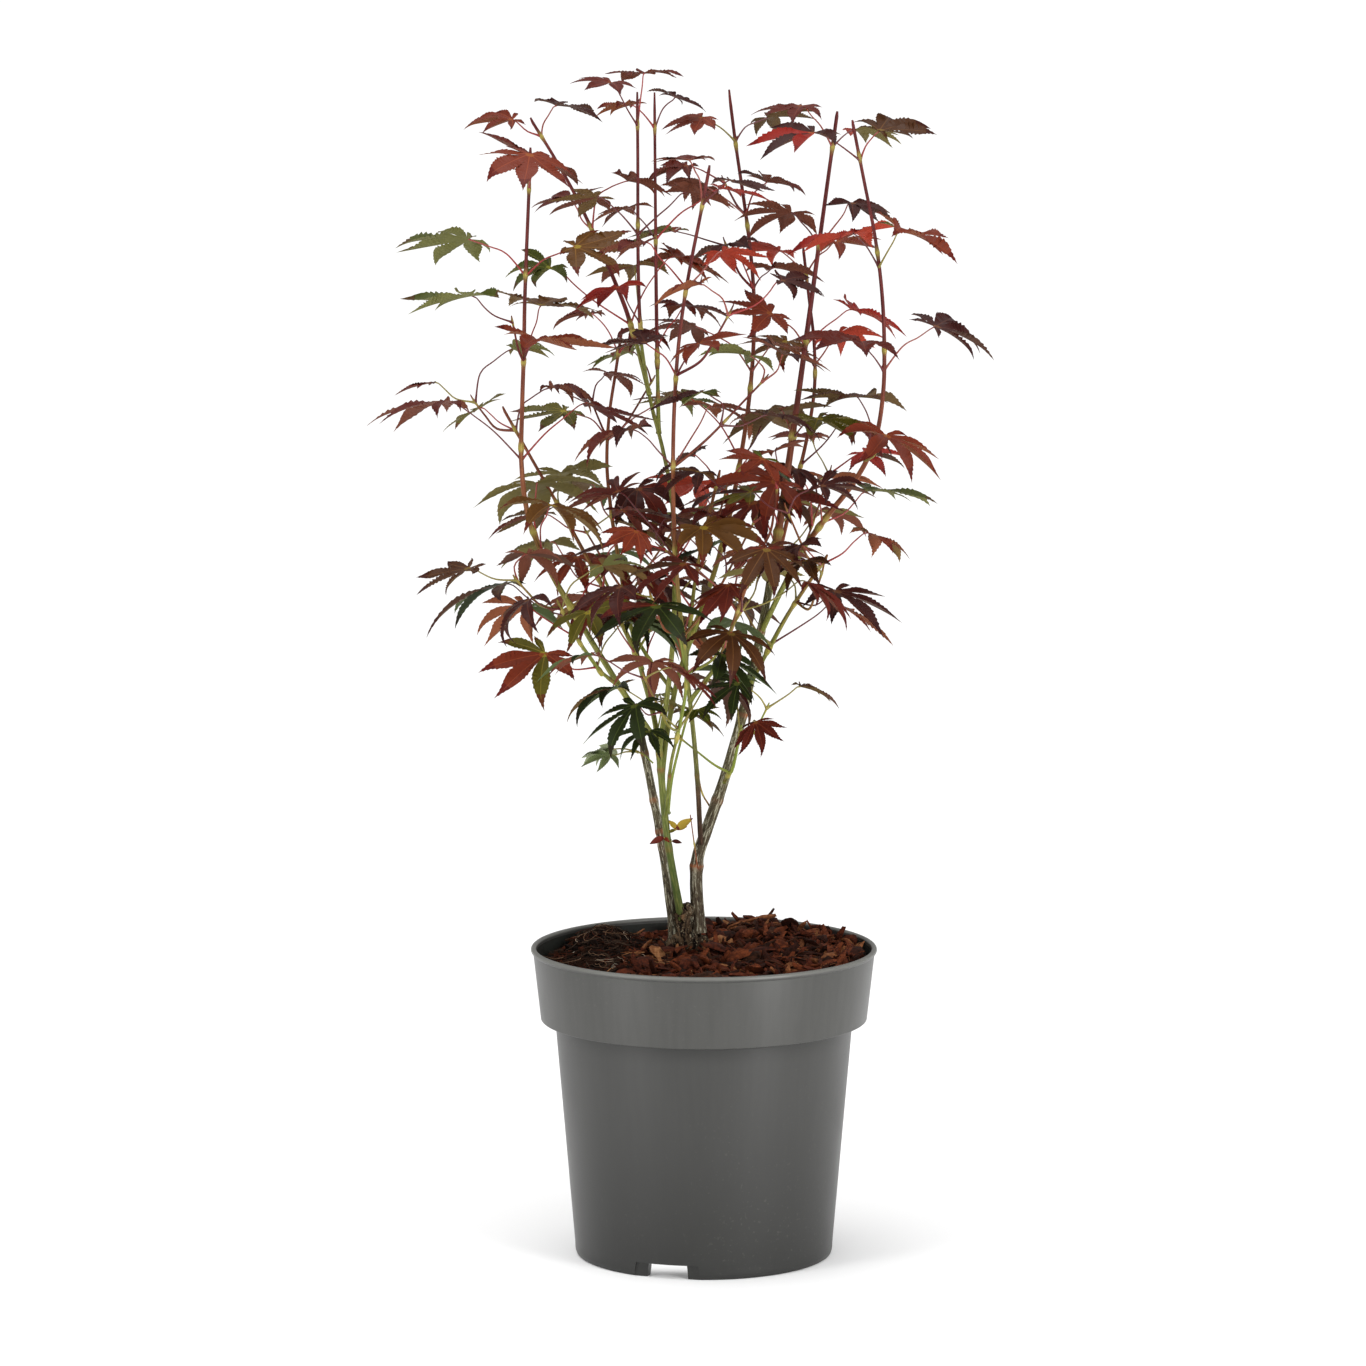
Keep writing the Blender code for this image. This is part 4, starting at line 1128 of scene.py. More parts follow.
class Blade:
    """One leaf's own bends: every lobe arches, droops, curls and folds a little differently."""

    def __init__(self, length, rng, droop, lobes, width):
        self.length = length
        self.rng = rng
        first = (7 - lobes) // 2
        gather = rng.choices((1, 0.86, 0.66), (76, 16, 8))[0]
        self.turns = [t * gather + rng.uniform(-4, 4) for t in LOBE_TURNS[first : 7 - first]]
        self.reaches = [r * rng.uniform(0.93, 1.07) for r in LOBE_REACHES[first : 7 - first]]
        self.lift = math.radians(rng.uniform(-6, 18))
        self.droop = droop
        self.fold = math.radians(rng.uniform(8, 40))
        self.ruffle = rng.uniform(0.5, 1.5)
        self.width = width * rng.uniform(0.88, 1.12)
        self.tip_fall = math.radians(rng.uniform(4, 26))
        self.places, self.faces, self.slots = [], [], []

    def point(self, place):
        self.places.append(place)
        return len(self.places) - 1

    def cover(self, lobe, corners, table, **names):
        """Adds a table's faces on some corners, each with its lobe and kind."""
        for kind, faces in table:
            self.faces += [tuple(corners[i] for i in face) for face in faces]
            self.slots += [(lobe, names.get(kind, kind))] * len(faces)

    def spine(self, index):
        """A lobe's middle line at shares 0 to 1 of its reach: places, sideways and upward directions."""
        rng = self.rng
        reach = self.reaches[index] * self.length
        rows = max(5, round(BLADE_ROWS * self.reaches[index]))
        shares = np.concatenate([[0, PALM_SHARE * 0.34], np.linspace(PALM_SHARE, 1, rows + 1)])
        curl = math.radians(rng.uniform(-11, 11))
        bend = self.droop * rng.uniform(0.5, 1.6) + math.radians(rng.uniform(-16, 20)) * self.ruffle
        swing = np.clip(shares - 0.7, 0, 1) * rng.uniform(-2.0, 2.0)
        heading = math.radians(self.turns[index]) + curl * shares**2 + swing
        hook = np.clip(shares - 0.72, 0, 1) * 3.6
        pitch = self.lift * (1 - shares) ** 2 - bend * shares**1.4 - hook * self.tip_fall * rng.uniform(0.3, 1.3)
        middles = (shares[1:] + shares[:-1]) / 2
        turn, dip = np.interp(middles, shares, heading), np.interp(middles, shares, pitch)
        steps = np.diff(shares)[:, None] * reach
        steps = steps * np.stack([np.cos(turn) * np.cos(dip), np.sin(turn) * np.cos(dip), np.sin(dip)], axis=1)
        places = np.concatenate([[(0, 0, 0)], np.cumsum(steps, axis=0)])
        sine, cosine = np.sin(heading), np.cos(heading)
        side = np.stack([-sine, cosine, np.zeros_like(heading)], axis=1)
        up = np.stack([-cosine * np.sin(pitch), -sine * np.sin(pitch), np.cos(pitch)], axis=1)
        twist = (math.radians(rng.uniform(-38, 38)) * self.ruffle * shares**1.3)[:, None]
        sine, cosine = np.sin(twist), np.cos(twist)
        return places, side * cosine + up * sine, up * cosine - side * sine, shares, reach

    def seam(self, turn, spines, is_outer):
        """Where two lobes meet: halfway out on both faces, and at the notch."""
        out = np.array(outward(turn))
        reach = PALM_SHARE * min(s[4] for s in spines) * (0.62 if is_outer else 1.02) * self.rng.uniform(0.9, 1.1)
        z = sum(s[0][2][2] for s in spines) / len(spines) + reach * math.tan(self.fold) * 0.24
        notch = self.point(out * reach + np.array((0, 0, z)))
        half = out * reach * 0.4 + np.array((0, 0, z * 0.35))
        top = self.point(half)
        return top, top if is_outer else self.point(half - np.array((0, 0, BLADE_THICKNESS))), notch

    def build(self):
        spines = [self.spine(i) for i in range(len(self.turns))]
        count = len(spines)
        hearts = [self.point(np.array((0, 0, z))) for z in (0.0, -BLADE_THICKNESS)]
        turns = self.turns
        edges = [turns[0] - (turns[1] - turns[0]) * 0.62, *((a + b) / 2 for a, b in zip(turns, turns[1:]))]
        edges.append(turns[-1] + (turns[-1] - turns[-2]) * 0.62)
        seams = [self.seam(t, spines[max(0, i - 1) : i + 1], i in (0, count)) for i, t in enumerate(edges)]
        for i, spine in enumerate(spines):
            self.add_lobe(i, spine, seams[i], seams[i + 1], hearts)
        # The heel closes the blade behind the stalk.
        heel = self.point(np.array((-0.04 * self.length, 0, 0)))
        table = (("heart", ((0, 2, 3), (0, 4, 2))), ("underside", ((1, 3, 2), (1, 2, 4))))
        self.cover(0, (*hearts, heel, seams[0][0], seams[-1][0]), table)
        return np.array(self.places)

    def add_lobe(self, lobe, spine, right, left, hearts):
        places, sides, ups, shares, reach = spine
        rng = self.rng
        widths = np.interp(shares, WIDTH_KNOTS, WIDTHS) * LOBE_HALF_WIDTH * self.width * reach
        ribs = np.minimum(RIB_HALF_WIDTH * (1.15 - shares), widths * 0.3 + 0.02 * MM)
        lift, flat = math.sin(self.fold), math.cos(self.fold)
        ripple = rng.uniform(0, 6)
        rows = []
        for k, share in enumerate(shares[1:-1], start=1):
            rib = [self.point(places[k] + sides[k] * ribs[k] * sign + ups[k] * 0.05 * MM) for sign in (-1, 1)]
            under = self.point(places[k] - ups[k] * BLADE_THICKNESS * (1.25 - 0.6 * share))
            if k == 1:
                margins = right[0], left[0]
            elif k == 2:
                margins = right[2], left[2]
            else:
                wide = widths[k]
                wave = 0.16 * self.ruffle * math.sin(ripple + 9 * share) * wide
                margins = [
                    self.point(places[k] + sides[k] * flat * wide * sign + ups[k] * (lift * wide - wave * sign))
                    for sign in (-1, 1)
                ]
            rows.append((margins[0], *rib, margins[1], under))
        self.cover(lobe, (*rows[0], *hearts, right[1], left[1]), HEART_FACES)
        self.cover(lobe, (*rows[0], *rows[1], right[1], left[1]), PALM_FACES)
        for k in range(2, len(rows)):
            size = (widths[k + 1] + widths[k]) / 2 * rng.uniform(1.0, 1.12) + 0.12 * MM
            middle = places[k] + (places[k + 1] - places[k]) * rng.uniform(0.62, 0.85)
            teeth = [
                self.point(middle + sides[k] * sign * flat * size + ups[k] * (lift * size - 0.12 * MM))
                for sign in (-1, 1)
            ]
            skin = "edge" if shares[k + 1] > 0.8 else "blade"
            rib = "rib" if shares[k + 1] < 0.86 else "edge"
            self.cover(lobe, (*rows[k - 1], *rows[k], *teeth), TOOTH_FACES, skin=skin, rib=rib)
        self.cover(lobe, (*rows[-1], self.point(places[-1])), TIP_FACES)


def add_blade(stack, place, length, tints, rng, droop, lobes=7, width=1.0):
    """A leaf in its place, in one or more tints dealt out by lobe."""
    blade = Blade(length, rng, droop, lobes, width)
    matrix = np.array(place)
    places = blade.build() @ matrix[:3, :3].T + matrix[:3, 3]
    stack.add(places, blade.faces, [(tints[lobe % len(tints)], kind) for lobe, kind in blade.slots])


def add_leaflet(stack, foot, out, length, tint, skin):
    """A young undivided leaf: an oval folded along its rib and hooked at its point."""
    forward = out.normalized()
    left = Vector((0, -0.9, 0.5)).cross(forward).normalized()
    up = forward.cross(left)
    places, faces, slots = [], [], []
    for row in range(LEAFLET_ROWS + 1):
        share = row / LEAFLET_ROWS
        rib = foot + forward * length * share - up * length * 0.22 * share**2
        half = length * 0.22 * math.sin(math.pi * min(1, 0.06 + 0.94 * share) ** 0.85) + 0.05 * MM
        places += [rib + left * side * half + up * half * 0.5 for side in (-1, 1)]
        places += [rib, rib - up * BLADE_THICKNESS * (1 - 0.7 * share)]
    for row in range(LEAFLET_ROWS):
        faces += [tuple(row * 4 + corner for corner in face) for face in LEAFLET_FACES]
        kind = "edge" if row in (0, LEAFLET_ROWS - 1) else skin
        slots += [(tint, kind)] * 4 + [(tint, "underside")] * 4
    last = LEAFLET_ROWS * 4
    faces += [(0, 2, 3), (1, 3, 2), (last, last + 3, last + 2), (last + 1, last + 2, last + 3)]
    slots += [(tint, "edge")] * 4
    stack.add([tuple(place) for place in places], faces, slots)


# ---- Pot ----


def deselect():
    if bpy.context.mode != "OBJECT":
        bpy.ops.object.mode_set(mode="OBJECT")
    bpy.ops.object.select_all(action="DESELECT")


def make_current(piece):
    deselect()
    piece.select_set(True)
    bpy.context.view_layer.objects.active = piece


def apply_modifier(piece, kind, **settings):
    """Adds a modifier, sets it and applies it."""
    make_current(piece)
    added = piece.modifiers.new(kind.lower(), kind)
    for name, value in settings.items():
        setattr(added, name, value)
    bpy.ops.object.modifier_apply(modifier=added.name)


def smooth_faces(piece, degrees):
    make_current(piece)
    bpy.ops.object.shade_smooth_by_angle(angle=math.radians(degrees))


def set_down(piece, name):
    """Names a finished piece and puts its place into its mesh."""
    make_current(piece)
    bpy.ops.object.transform_apply(location=True, rotation=True, scale=True)
    piece.name = piece.data.name = name
    return piece


def wear(piece, *finishes):
    piece.data.materials.clear()
    for finish in finishes:
        piece.data.materials.append(finish)


def eased(*corners):
    """A profile of (radius, height, easing) with each corner rounded off over its easing."""
    profile = []
    for i, (radius, z, ease) in enumerate(corners):
        here = Vector((radius, z))
        if not ease:
            profile.append(here)
            continue
        before = Vector(corners[i - 1][:2]) - here
        after = Vector(corners[i + 1][:2]) - here
        start = here + before.normalized() * min(ease, before.length * 0.48)
        end = here + after.normalized() * min(ease, after.length * 0.48)
        for step in range(7):
            t = step / 6
            profile.append(start * (1 - t) ** 2 + here * 2 * t * (1 - t) + end * t**2)
    return profile


def draw_round(name, profile, steps):
    """A closed round piece drawn out of one circle: its rim is extruded and resized from ring to ring."""
    deselect()
    radius, z = profile[0]
    bpy.ops.mesh.primitive_circle_add(vertices=steps, radius=radius, fill_type="NGON", location=(0, 0, z))
    piece = bpy.context.object
    bpy.ops.object.mode_set(mode="EDIT")
    bpy.ops.mesh.select_mode(type="EDGE")
    bpy.ops.mesh.select_all(action="DESELECT")
    bpy.ops.object.mode_set(mode="OBJECT")
    for edge in piece.data.edges:
        edge.select = True
    bpy.ops.object.mode_set(mode="EDIT")
    for (radius, z), (next_radius, next_z) in zip(profile, profile[1:]):
        bpy.ops.mesh.extrude_edges_move(TRANSFORM_OT_translate={"value": (0, 0, next_z - z)})
        grow = next_radius / radius
        bpy.ops.transform.resize(value=(grow, grow, 1), center_override=(0, 0, 0))
    bpy.ops.mesh.edge_face_add()
    bpy.ops.mesh.select_all(action="SELECT")
    bpy.ops.mesh.normals_make_consistent(inside=False)
    bpy.ops.object.mode_set(mode="OBJECT")
    return set_down(piece, name)


def body_radius(z):
    share = (z - BASE_ROUND) / (BODY_TOP_Z - BASE_ROUND)
    return BASE_RADIUS + (BODY_TOP_RADIUS - BASE_RADIUS) * share


def pot_profile():
    """Up the inside from the floor, over the bead, down the collar and the body, and back under."""
    floor_edge = body_radius(FLOOR_TOP_Z) - WALL
    ring = BASE_RADIUS - FOOT_RING
    inside = eased(
        (floor_edge - 8 * MM, FLOOR_TOP_Z, 0),
        (floor_edge, FLOOR_TOP_Z, 4 * MM),
        (BODY_TOP_RADIUS - WALL, BODY_TOP_Z + WALL, 4 * MM),
        (INNER_RADIUS, COLLAR_BOTTOM_Z + WALL, 4 * MM),
        (RIM_RADIUS - 2 * BEAD_RADIUS, RIM_Z - 1.4 * MM, 0),
    )
    middle = RIM_RADIUS - BEAD_RADIUS
    turns = [math.pi * (1.1 - 1.35 * step / BEAD_STEPS) for step in range(BEAD_STEPS + 1)]
    bead = [Vector((middle + BEAD_RADIUS * math.cos(t), RIM_Z + BEAD_RADIUS * math.sin(t))) for t in turns]
    outside = eased(
        (COLLAR_TOP_RADIUS + 0.15 * MM, RIM_Z - 1.15 * BEAD_RADIUS, 0),
        (COLLAR_TOP_RADIUS, RIM_Z - 2.0 * BEAD_RADIUS, 0.6 * MM),
        (COLLAR_BOTTOM_RADIUS, COLLAR_BOTTOM_Z, 0.4 * MM),
        (BODY_TOP_RADIUS, BODY_TOP_Z, 0.8 * MM),
        (body_radius(BASE_ROUND + 4 * MM), BASE_ROUND + 4 * MM, 1 * MM),
        (BASE_RADIUS + 0.2 * MM, BASE_ROUND, 0.8 * MM),
        (BASE_RADIUS - 0.6 * MM, 0, 1.2 * MM),
        (ring, 0, 0.6 * MM),
        (ring - 0.6 * MM, FLOOR_TOP_Z - 2 * MM, 1.2 * MM),
        (ring - 8 * MM, FLOOR_TOP_Z - 2 * MM, 0),
    )
    return [*inside, *bead, *outside]


def select_faces(piece, direction):
    """In edit mode, selects only the faces that look in a direction."""
    bpy.ops.mesh.select_mode(type="FACE")
    bpy.ops.mesh.select_all(action="DESELECT")
    bpy.ops.object.mode_set(mode="OBJECT")
    for face in piece.data.polygons:
        face.select = face.normal.dot(direction) > 0.7
    bpy.ops.object.mode_set(mode="EDIT")


def cut_away(pot, cutter):
    apply_modifier(pot, "BOOLEAN", object=cutter, operation="DIFFERENCE", solver="EXACT")
    bpy.data.objects.remove(cutter)


def cut_arch(pot, turn):
    """A drain arch in the foot and the drain hole behind it."""
    ease = {"width": 0.6 * MM, "segments": 2, "limit_method": "ANGLE"}
    for width, depth in ARCH_CUTS:
        reach = depth + 10 * MM
        deselect()
        bpy.ops.mesh.primitive_cube_add(size=1, location=(BASE_RADIUS - depth + reach / 2, 0, 0))
        block = bpy.context.object
        middle = block.location.copy()
        bpy.ops.object.mode_set(mode="EDIT")
        bpy.ops.transform.resize(value=(reach, width, 2 * ARCH_HEIGHT), center_override=middle)
        select_faces(block, upward(1))
        bpy.ops.transform.resize(value=(1, ARCH_TOP_SHARE, 1), center_override=middle)
        bpy.ops.object.mode_set(mode="OBJECT")
        apply_modifier(block, "BEVEL", **ease)
        bpy.ops.transform.rotate(value=math.radians(-turn), orient_axis="Z", center_override=(0, 0, 0))
        cut_away(pot, block)
    deselect()
    place = outward(turn) * (BASE_RADIUS - ARCH_DEPTH + 2 * DRAIN_HOLE_RADIUS) + upward(FLOOR_TOP_Z)
    bpy.ops.mesh.primitive_cylinder_add(vertices=32, radius=DRAIN_HOLE_RADIUS, depth=20 * MM, location=place)
    drill = bpy.context.object
    apply_modifier(drill, "BEVEL", **ease)
    cut_away(pot, drill)


def make_pot():
    pot = draw_round("pot_shell", pot_profile(), POT_STEPS)
    for index in range(ARCHES):
        cut_arch(pot, FIRST_ARCH_TURN + 360 / ARCHES * index)
    smooth_faces(pot, POT_CREASE)
    wear(pot, pot_plastic(), stained_plastic())
    # The inner wall above the floor takes the second finish, darkened as painted shade.
    for face in pot.data.polygons:
        middle = face.center
        is_inner = face.normal.x * middle.x + face.normal.y * middle.y < 0
        if is_inner and FLOOR_TOP_Z < middle.z < RIM_Z - 1.2 * MM:
            face.material_index = 1
    settle(pot, "pot_plastic", "pot")


# ---- Soil ----


def from_crown(x, y):
    return math.hypot(x - CROWN_AT.x, y - CROWN_AT.y)


def hill(x, y, middle_x, middle_y, wide, deep):
    """1 at a place given in millimetres, falling to 0 round it."""
    return math.exp(-(((x - middle_x * MM) / (wide * MM)) ** 2) - ((y - middle_y * MM) / (deep * MM)) ** 2)


def mound(x, y):
    """1 on the dark fibrous mound of peat at the back left."""
    return hill(x, y, -56, 44, 17, 21)


def heap(x, y):
    """The bark heaped at the back right, with the ground sunk along the left wall."""
    sunk = 4 * hill(x, y, -30, 74, 22, 20) + 4 * hill(x, y, -84, 4, 13, 44) + 2 * hill(x, y, 74, 0, 20, 46)
    return (5.5 * hill(x, y, 34, 54, 26, 20) - sunk) * MM


def mulch_top(x, y):
    """The bed's height: level round the stems, and rising to the right beyond."""
    inside = min(1, max(0, (86 * MM - math.hypot(x, y)) / (14 * MM)))
    rise = 0.05 * x / RIM_RADIUS * max(0, from_crown(x, y) - FLAT_RADIUS)
    return SOIL_Z + BARK_THICKNESS + rise + heap(x, y) * (0.35 + 0.65 * inside) + 6.5 * MM * mound(x, y)


def barkiness(x, y):
    """1 where bark covers the soil, 0 where the soil is bare."""
    patch = noise.noise(Vector((x, y, 0.003)) * 38)
    front = max(0, -y - 30 * MM) * 0.35
    return min(1, max(0.03, (x + front + 48 * MM) / (28 * MM) + 0.5 * patch - 0.9 * hill(x, y, -56, 44, 20, 24)))


def ground_top(x, y):
    """The soil's own surface: clods and hollows under the bark."""
    clods = noise.fractal(Vector((x, y, 0)) * 95, 1.0, 2.1, 5)
    lumps = noise.noise(Vector((x, y, 0.1)) * 30)
    sunk = 1.2 + 2.2 * barkiness(x, y)
    return mulch_top(x, y) - sunk * MM + clods * 1.5 * MM + lumps * 1.2 * MM


def make_soil():
    """The root ball: a round block drawn from one circle, its top roughened into clods."""
    inner = INNER_RADIUS - GAP
    outer = inner + 2.0 * MM
    low = FLOOR_TOP_Z + GAP
    foot = body_radius(low) - WALL - GAP
    profile = [
        (foot - 3 * MM, low),
        (foot, low + 2 * MM),
        (BODY_TOP_RADIUS - WALL - GAP, BODY_TOP_Z + WALL + GAP),
        (inner, COLLAR_BOTTOM_Z + WALL + 2 * GAP),
        (inner + 1.4 * MM, SOIL_Z - 4 * MM),
    ]
    profile += [(outer * (1 - ring / (SOIL_RINGS + 0.5)), SOIL_Z) for ring in range(SOIL_RINGS + 1)]
    soil = draw_round("potting_soil", [Vector(place) for place in profile], SOIL_STEPS)
    for vertex in soil.data.vertices:
        if vertex.co.z > SOIL_Z - 0.1 * MM:
            vertex.co.z = ground_top(vertex.co.x, vertex.co.y)
    smooth_faces(soil, SOIL_CREASE)
    wear(soil, potting_soil())
    settle(soil, "soil", "soil")


# ---- Crumbs, fibres and chips ----


def inside_pot(x, y, margin):
    return math.hypot(x, y) < INNER_RADIUS + 1.5 * MM - margin


def keep_inside(places):
    """The points, with any that lie beyond the pot's wall pushed back to it."""
    reach = np.hypot(places[:, 0], places[:, 1])
    shrink = np.minimum(1, (INNER_RADIUS + 1 * MM) / np.maximum(reach, MM))
    return places * np.stack([shrink, shrink, np.ones_like(shrink)], axis=1)


def anywhere(rng, low_x, high_x, low_y, high_y):
    return rng.uniform(low_x, high_x) * MM, rng.uniform(low_y, high_y) * MM


def lump(rng, size):
    """The corners of a small clod: a squashed, uneven ball."""
    places = np.array(CLOD_CORNERS) / 1.9
    places *= np.array([[rng.uniform(0.7, 1.2)] for _ in CLOD_CORNERS]) * size
    places[:, 2] *= 0.7
    return places


def lump_faces():
    """The twenty faces of a clod, as the hull of its corners gives them."""
    shape = bmesh.new()
    for corner in CLOD_CORNERS:
        shape.verts.new(corner)
    shape.verts.index_update()
    bmesh.ops.convex_hull(shape, input=shape.verts)
    shape.normal_update()
    faces = []
    for face in shape.faces:
        order = tuple(v.index for v in face.verts)
        faces.append(order if face.normal.dot(face.calc_center_median()) >= 0 else order[::-1])
    shape.free()
    return faces


def turned_place(rng, tilt, spin=None):
    """A turn about Z, random unless given, and then a random tilt."""
    spin = rng.uniform(0, 2 * math.pi) if spin is None else spin
    angle = rng.uniform(0, 2 * math.pi)
    axis = Vector((math.cos(angle), math.sin(angle), 0))
    return np.array(Matrix.Rotation(rng.gauss(0, tilt), 3, axis) @ Matrix.Rotation(spin, 3, "Z"))


def add_strand(stack, rng, x, y, length, radius, slot, curl, above):
    """A thin strand that wanders over the ground, some millimetres above it."""
    heading = rng.uniform(0, 2 * math.pi)
    turn = rng.uniform(-curl, curl)
    points = []
    steps = max(4, round(length / (2.6 * MM)))
    for _ in range(steps + 1):
        if not inside_pot(x, y, 0):
            break
        lift = abs(rng.gauss(0, 0.5)) * MM
        points.append(Vector((x, y, mulch_top(x, y) * 0.5 + ground_top(x, y) * 0.5 + above * MM + lift)))
        turn += rng.uniform(-0.5, 0.5) * curl
        turn *= 0.8
        heading += turn
        x += math.cos(heading) * length / steps
        y += math.sin(heading) * length / steps
    if len(points) < 4:
        return
    path = np.array(smooth_run(points, 1.8 * MM))
    places, faces = tube_arrays(path, radius * (1 - 0.6 * np.linspace(0, 1, len(path))), 5)
    stack.add(keep_inside(places), faces, slot)


def scatter_crumbs():
    """Clods, white grit, fibres and thin pale rootlets that lie on the bare soil."""
    rng = random.Random(CRUMB_SEED)
    stack = Stack()
    faces = lump_faces()
    made = 0
    while made < CRUMBS:
        x, y = anywhere(rng, -SCATTER, SCATTER, -SCATTER, SCATTER)
        if not inside_pot(x, y, 2 * MM) or rng.random() < barkiness(x, y) * 0.75:
            continue
        size = rng.choice((0.8, 1.0, 1.3, 1.7, 2.4)) * rng.uniform(0.7, 1.2) * MM
        z = ground_top(x, y) + size * 0.15
        places = lump(rng, size) @ turned_place(rng, 0.6).T + np.array((x, y, z))
        stack.add(keep_inside(places), faces, rng.choices((0, 1, 2, 3), (56, 30, 12, 0.6))[0])
        made += 1
    for _ in range(FIBRES):
        x, y = anywhere(rng, -88, 0, -84, 84)
        if inside_pot(x, y, 3 * MM) and rng.random() > barkiness(x, y):
            size = rng.uniform(0.16, 0.42) * MM
            above = rng.uniform(0.2, 1.6 + 1.6 * mound(x, y))
            add_strand(stack, rng, x, y, rng.uniform(6, 20) * MM, size, rng.choice((0, 1, 1, 2, 6)), 0.6, above)
    for x, y, spread, count in ROOTLET_PATCHES:
        for _ in range(count):
            at = anywhere(rng, x - spread, x + spread, y - spread, y + spread)
            if inside_pot(*at, 6 * MM):
                slot, size = rng.choice((4, 5, 5)), rng.uniform(0.11, 0.2) * MM
                add_strand(stack, rng, *at, rng.uniform(9, 26) * MM, size, slot, 0.75, rng.uniform(0.8, 3.0))
    finishes = [Finish(name, colour, 0.9, 0.08).material for name, colour in CRUMB_COLOURS.items()]
    settle(stack.make("soil_crumbs", finishes, BARK_CREASE), "soil")


def chip_shape(rng, length, width, thickness):
    """A torn sliver of bark: a bowed slab whose ends are ragged and whose edges are split."""
    places = []
    bow = rng.uniform(-0.10, 0.16) * length
    swing = rng.uniform(-0.10, 0.10) * length
    for ring in range(CHIP_RINGS):
        t = ring / (CHIP_RINGS - 1)
        is_end = ring in (0, CHIP_RINGS - 1)
        x = (t - 0.5) * length + rng.uniform(-0.04, 0.04) * length
        spread = width * (0.35 + 0.65 * math.sin(math.pi * min(1, max(0, 0.18 + 0.66 * t)))) / 2
        spread *= rng.uniform(0.25, 0.85) if is_end else 1
        deep = thickness * rng.uniform(0.7, 1.15) / 2 * (0.6 if is_end else 1)
        arch = 4 * t * (1 - t)
        for side, up in CHIP_CORNERS:
            jag = rng.uniform(0.82, 1.15)
            slip = rng.uniform(-0.06, 0.06) * length if is_end else 0
            places.append((x + slip, swing * arch + side * spread * jag, bow * arch + up * deep * jag))
    return np.array(places), tube_faces(CHIP_RINGS, len(CHIP_CORNERS))


def scatter_chips():
    """Shredded bark: chips and fibres in several red-browns, thin at the left and heaped at the right."""
    rng = random.Random(CHIP_SEED)
    kinds = []
    for _ in range(CHIP_KINDS):
        length = rng.uniform(8, 20) * MM
        slim = rng.choice(((0.14, 0.26), (0.28, 0.5), (0.34, 0.6)))
        kinds.append(chip_shape(rng, length, rng.uniform(*slim) * length, rng.uniform(1.0, 2.8) * MM))
    stack = Stack()
    made = 0
    while made < CHIPS:
        x, y = anywhere(rng, -SCATTER, SCATTER, -SCATTER, SCATTER)
        cover = barkiness(x, y)
        if not inside_pot(x, y, 3.5 * MM) or rng.random() > cover or from_crown(x, y) < CHIP_CLEARANCE:
            continue
        layer = rng.random()
        z = ground_top(x, y) + (0.3 + layer * 4.2 * cover) * MM + (1.5 * MM if layer > 0.96 else 0)
        size = rng.uniform(0.55, 1.25) * (0.7 + 0.5 * cover)
        near_wall = COLLAR_BOTTOM_RADIUS - math.hypot(x, y) < NEAR_WALL
        spin = math.atan2(y, x) + math.pi / 2 + rng.gauss(0, 0.5) if near_wall else None
        shape, faces = rng.choice(kinds)
        places = shape * size @ turned_place(rng, 0.44 + 0.46 * layer, spin).T + np.array((x, y, z))
        stack.add(keep_inside(places), faces, rng.choices((0, 1, 2, 3, 4, 5), (26, 32, 24, 10, 7, 1))[0])
        made += 1
    for _ in range(CHIP_FIBRES):
        x, y = anywhere(rng, -86, 88, -86, 86)
        if inside_pot(x, y, 5 * MM) and rng.random() < barkiness(x, y):
            slot = rng.choices((1, 2, 4, 5, 6), (20, 26, 24, 18, 12))[0]
            add_strand(stack, rng, x, y, rng.uniform(6, 22) * MM, rng.uniform(0.2, 0.45) * MM, slot, 0.45, 2.2)
    finishes = [chip_bark(name, *colours) for name, colours in CHIP_COLOURS.items()]
    settle(stack.make("bark_chips", finishes, CHIP_CREASE), "bark_mulch", "bark_mulch")


# ---- Root clump ----


def make_clump():
    """A gnarled burl where the stems meet: lumps and flared feet fused and roughened."""
    at = CROWN_AT + upward(SOIL_Z)
    parts = []
    for x, y, z, *radii in CLUMP_LUMPS:
        deselect()
        bpy.ops.mesh.primitive_ico_sphere_add(subdivisions=3, radius=1, location=at + Vector((x, y, z)) * MM)
        bpy.ops.transform.resize(value=[r * MM for r in radii], center_override=bpy.context.object.location)
        parts.append(bpy.context.object)
    make_current(parts[0])
    for part in parts:
        part.select_set(True)
    bpy.ops.object.join()
    clump = set_down(bpy.context.object, "root_clump")
    apply_modifier(clump, "REMESH", mode="VOXEL", voxel_size=CLUMP_GRAIN)
    for vertex in clump.data.vertices:
        place = vertex.co
        ridge = noise.ridged_multi_fractal(Vector((place.x * 3, place.y * 3, place.z)) * 130, 0.9, 2.1, 4, 0.9, 2.0)
        depth = (ridge - 0.9) * 1.0 * MM + noise.fractal(place * 210, 1.0, 2.0, 4) * 1.4 * MM
        if place.y < CROWN_AT.y:
            across, up = (place.x - HOLLOW_AT.x) / HOLLOW_WIDE, (place.z - HOLLOW_AT.z) / HOLLOW_TALL
            depth -= HOLLOW_DEPTH * math.exp(-(across**2) - up**2)
        vertex.co = place + vertex.normal.copy() * depth
    apply_modifier(clump, "SMOOTH", factor=0.35, iterations=1)
    smooth_faces(clump, BARK_CREASE)
    wear(clump, clump_bark())
    settle(clump, "grey_bark", "root_crown")


# ---- The plant's pieces ----


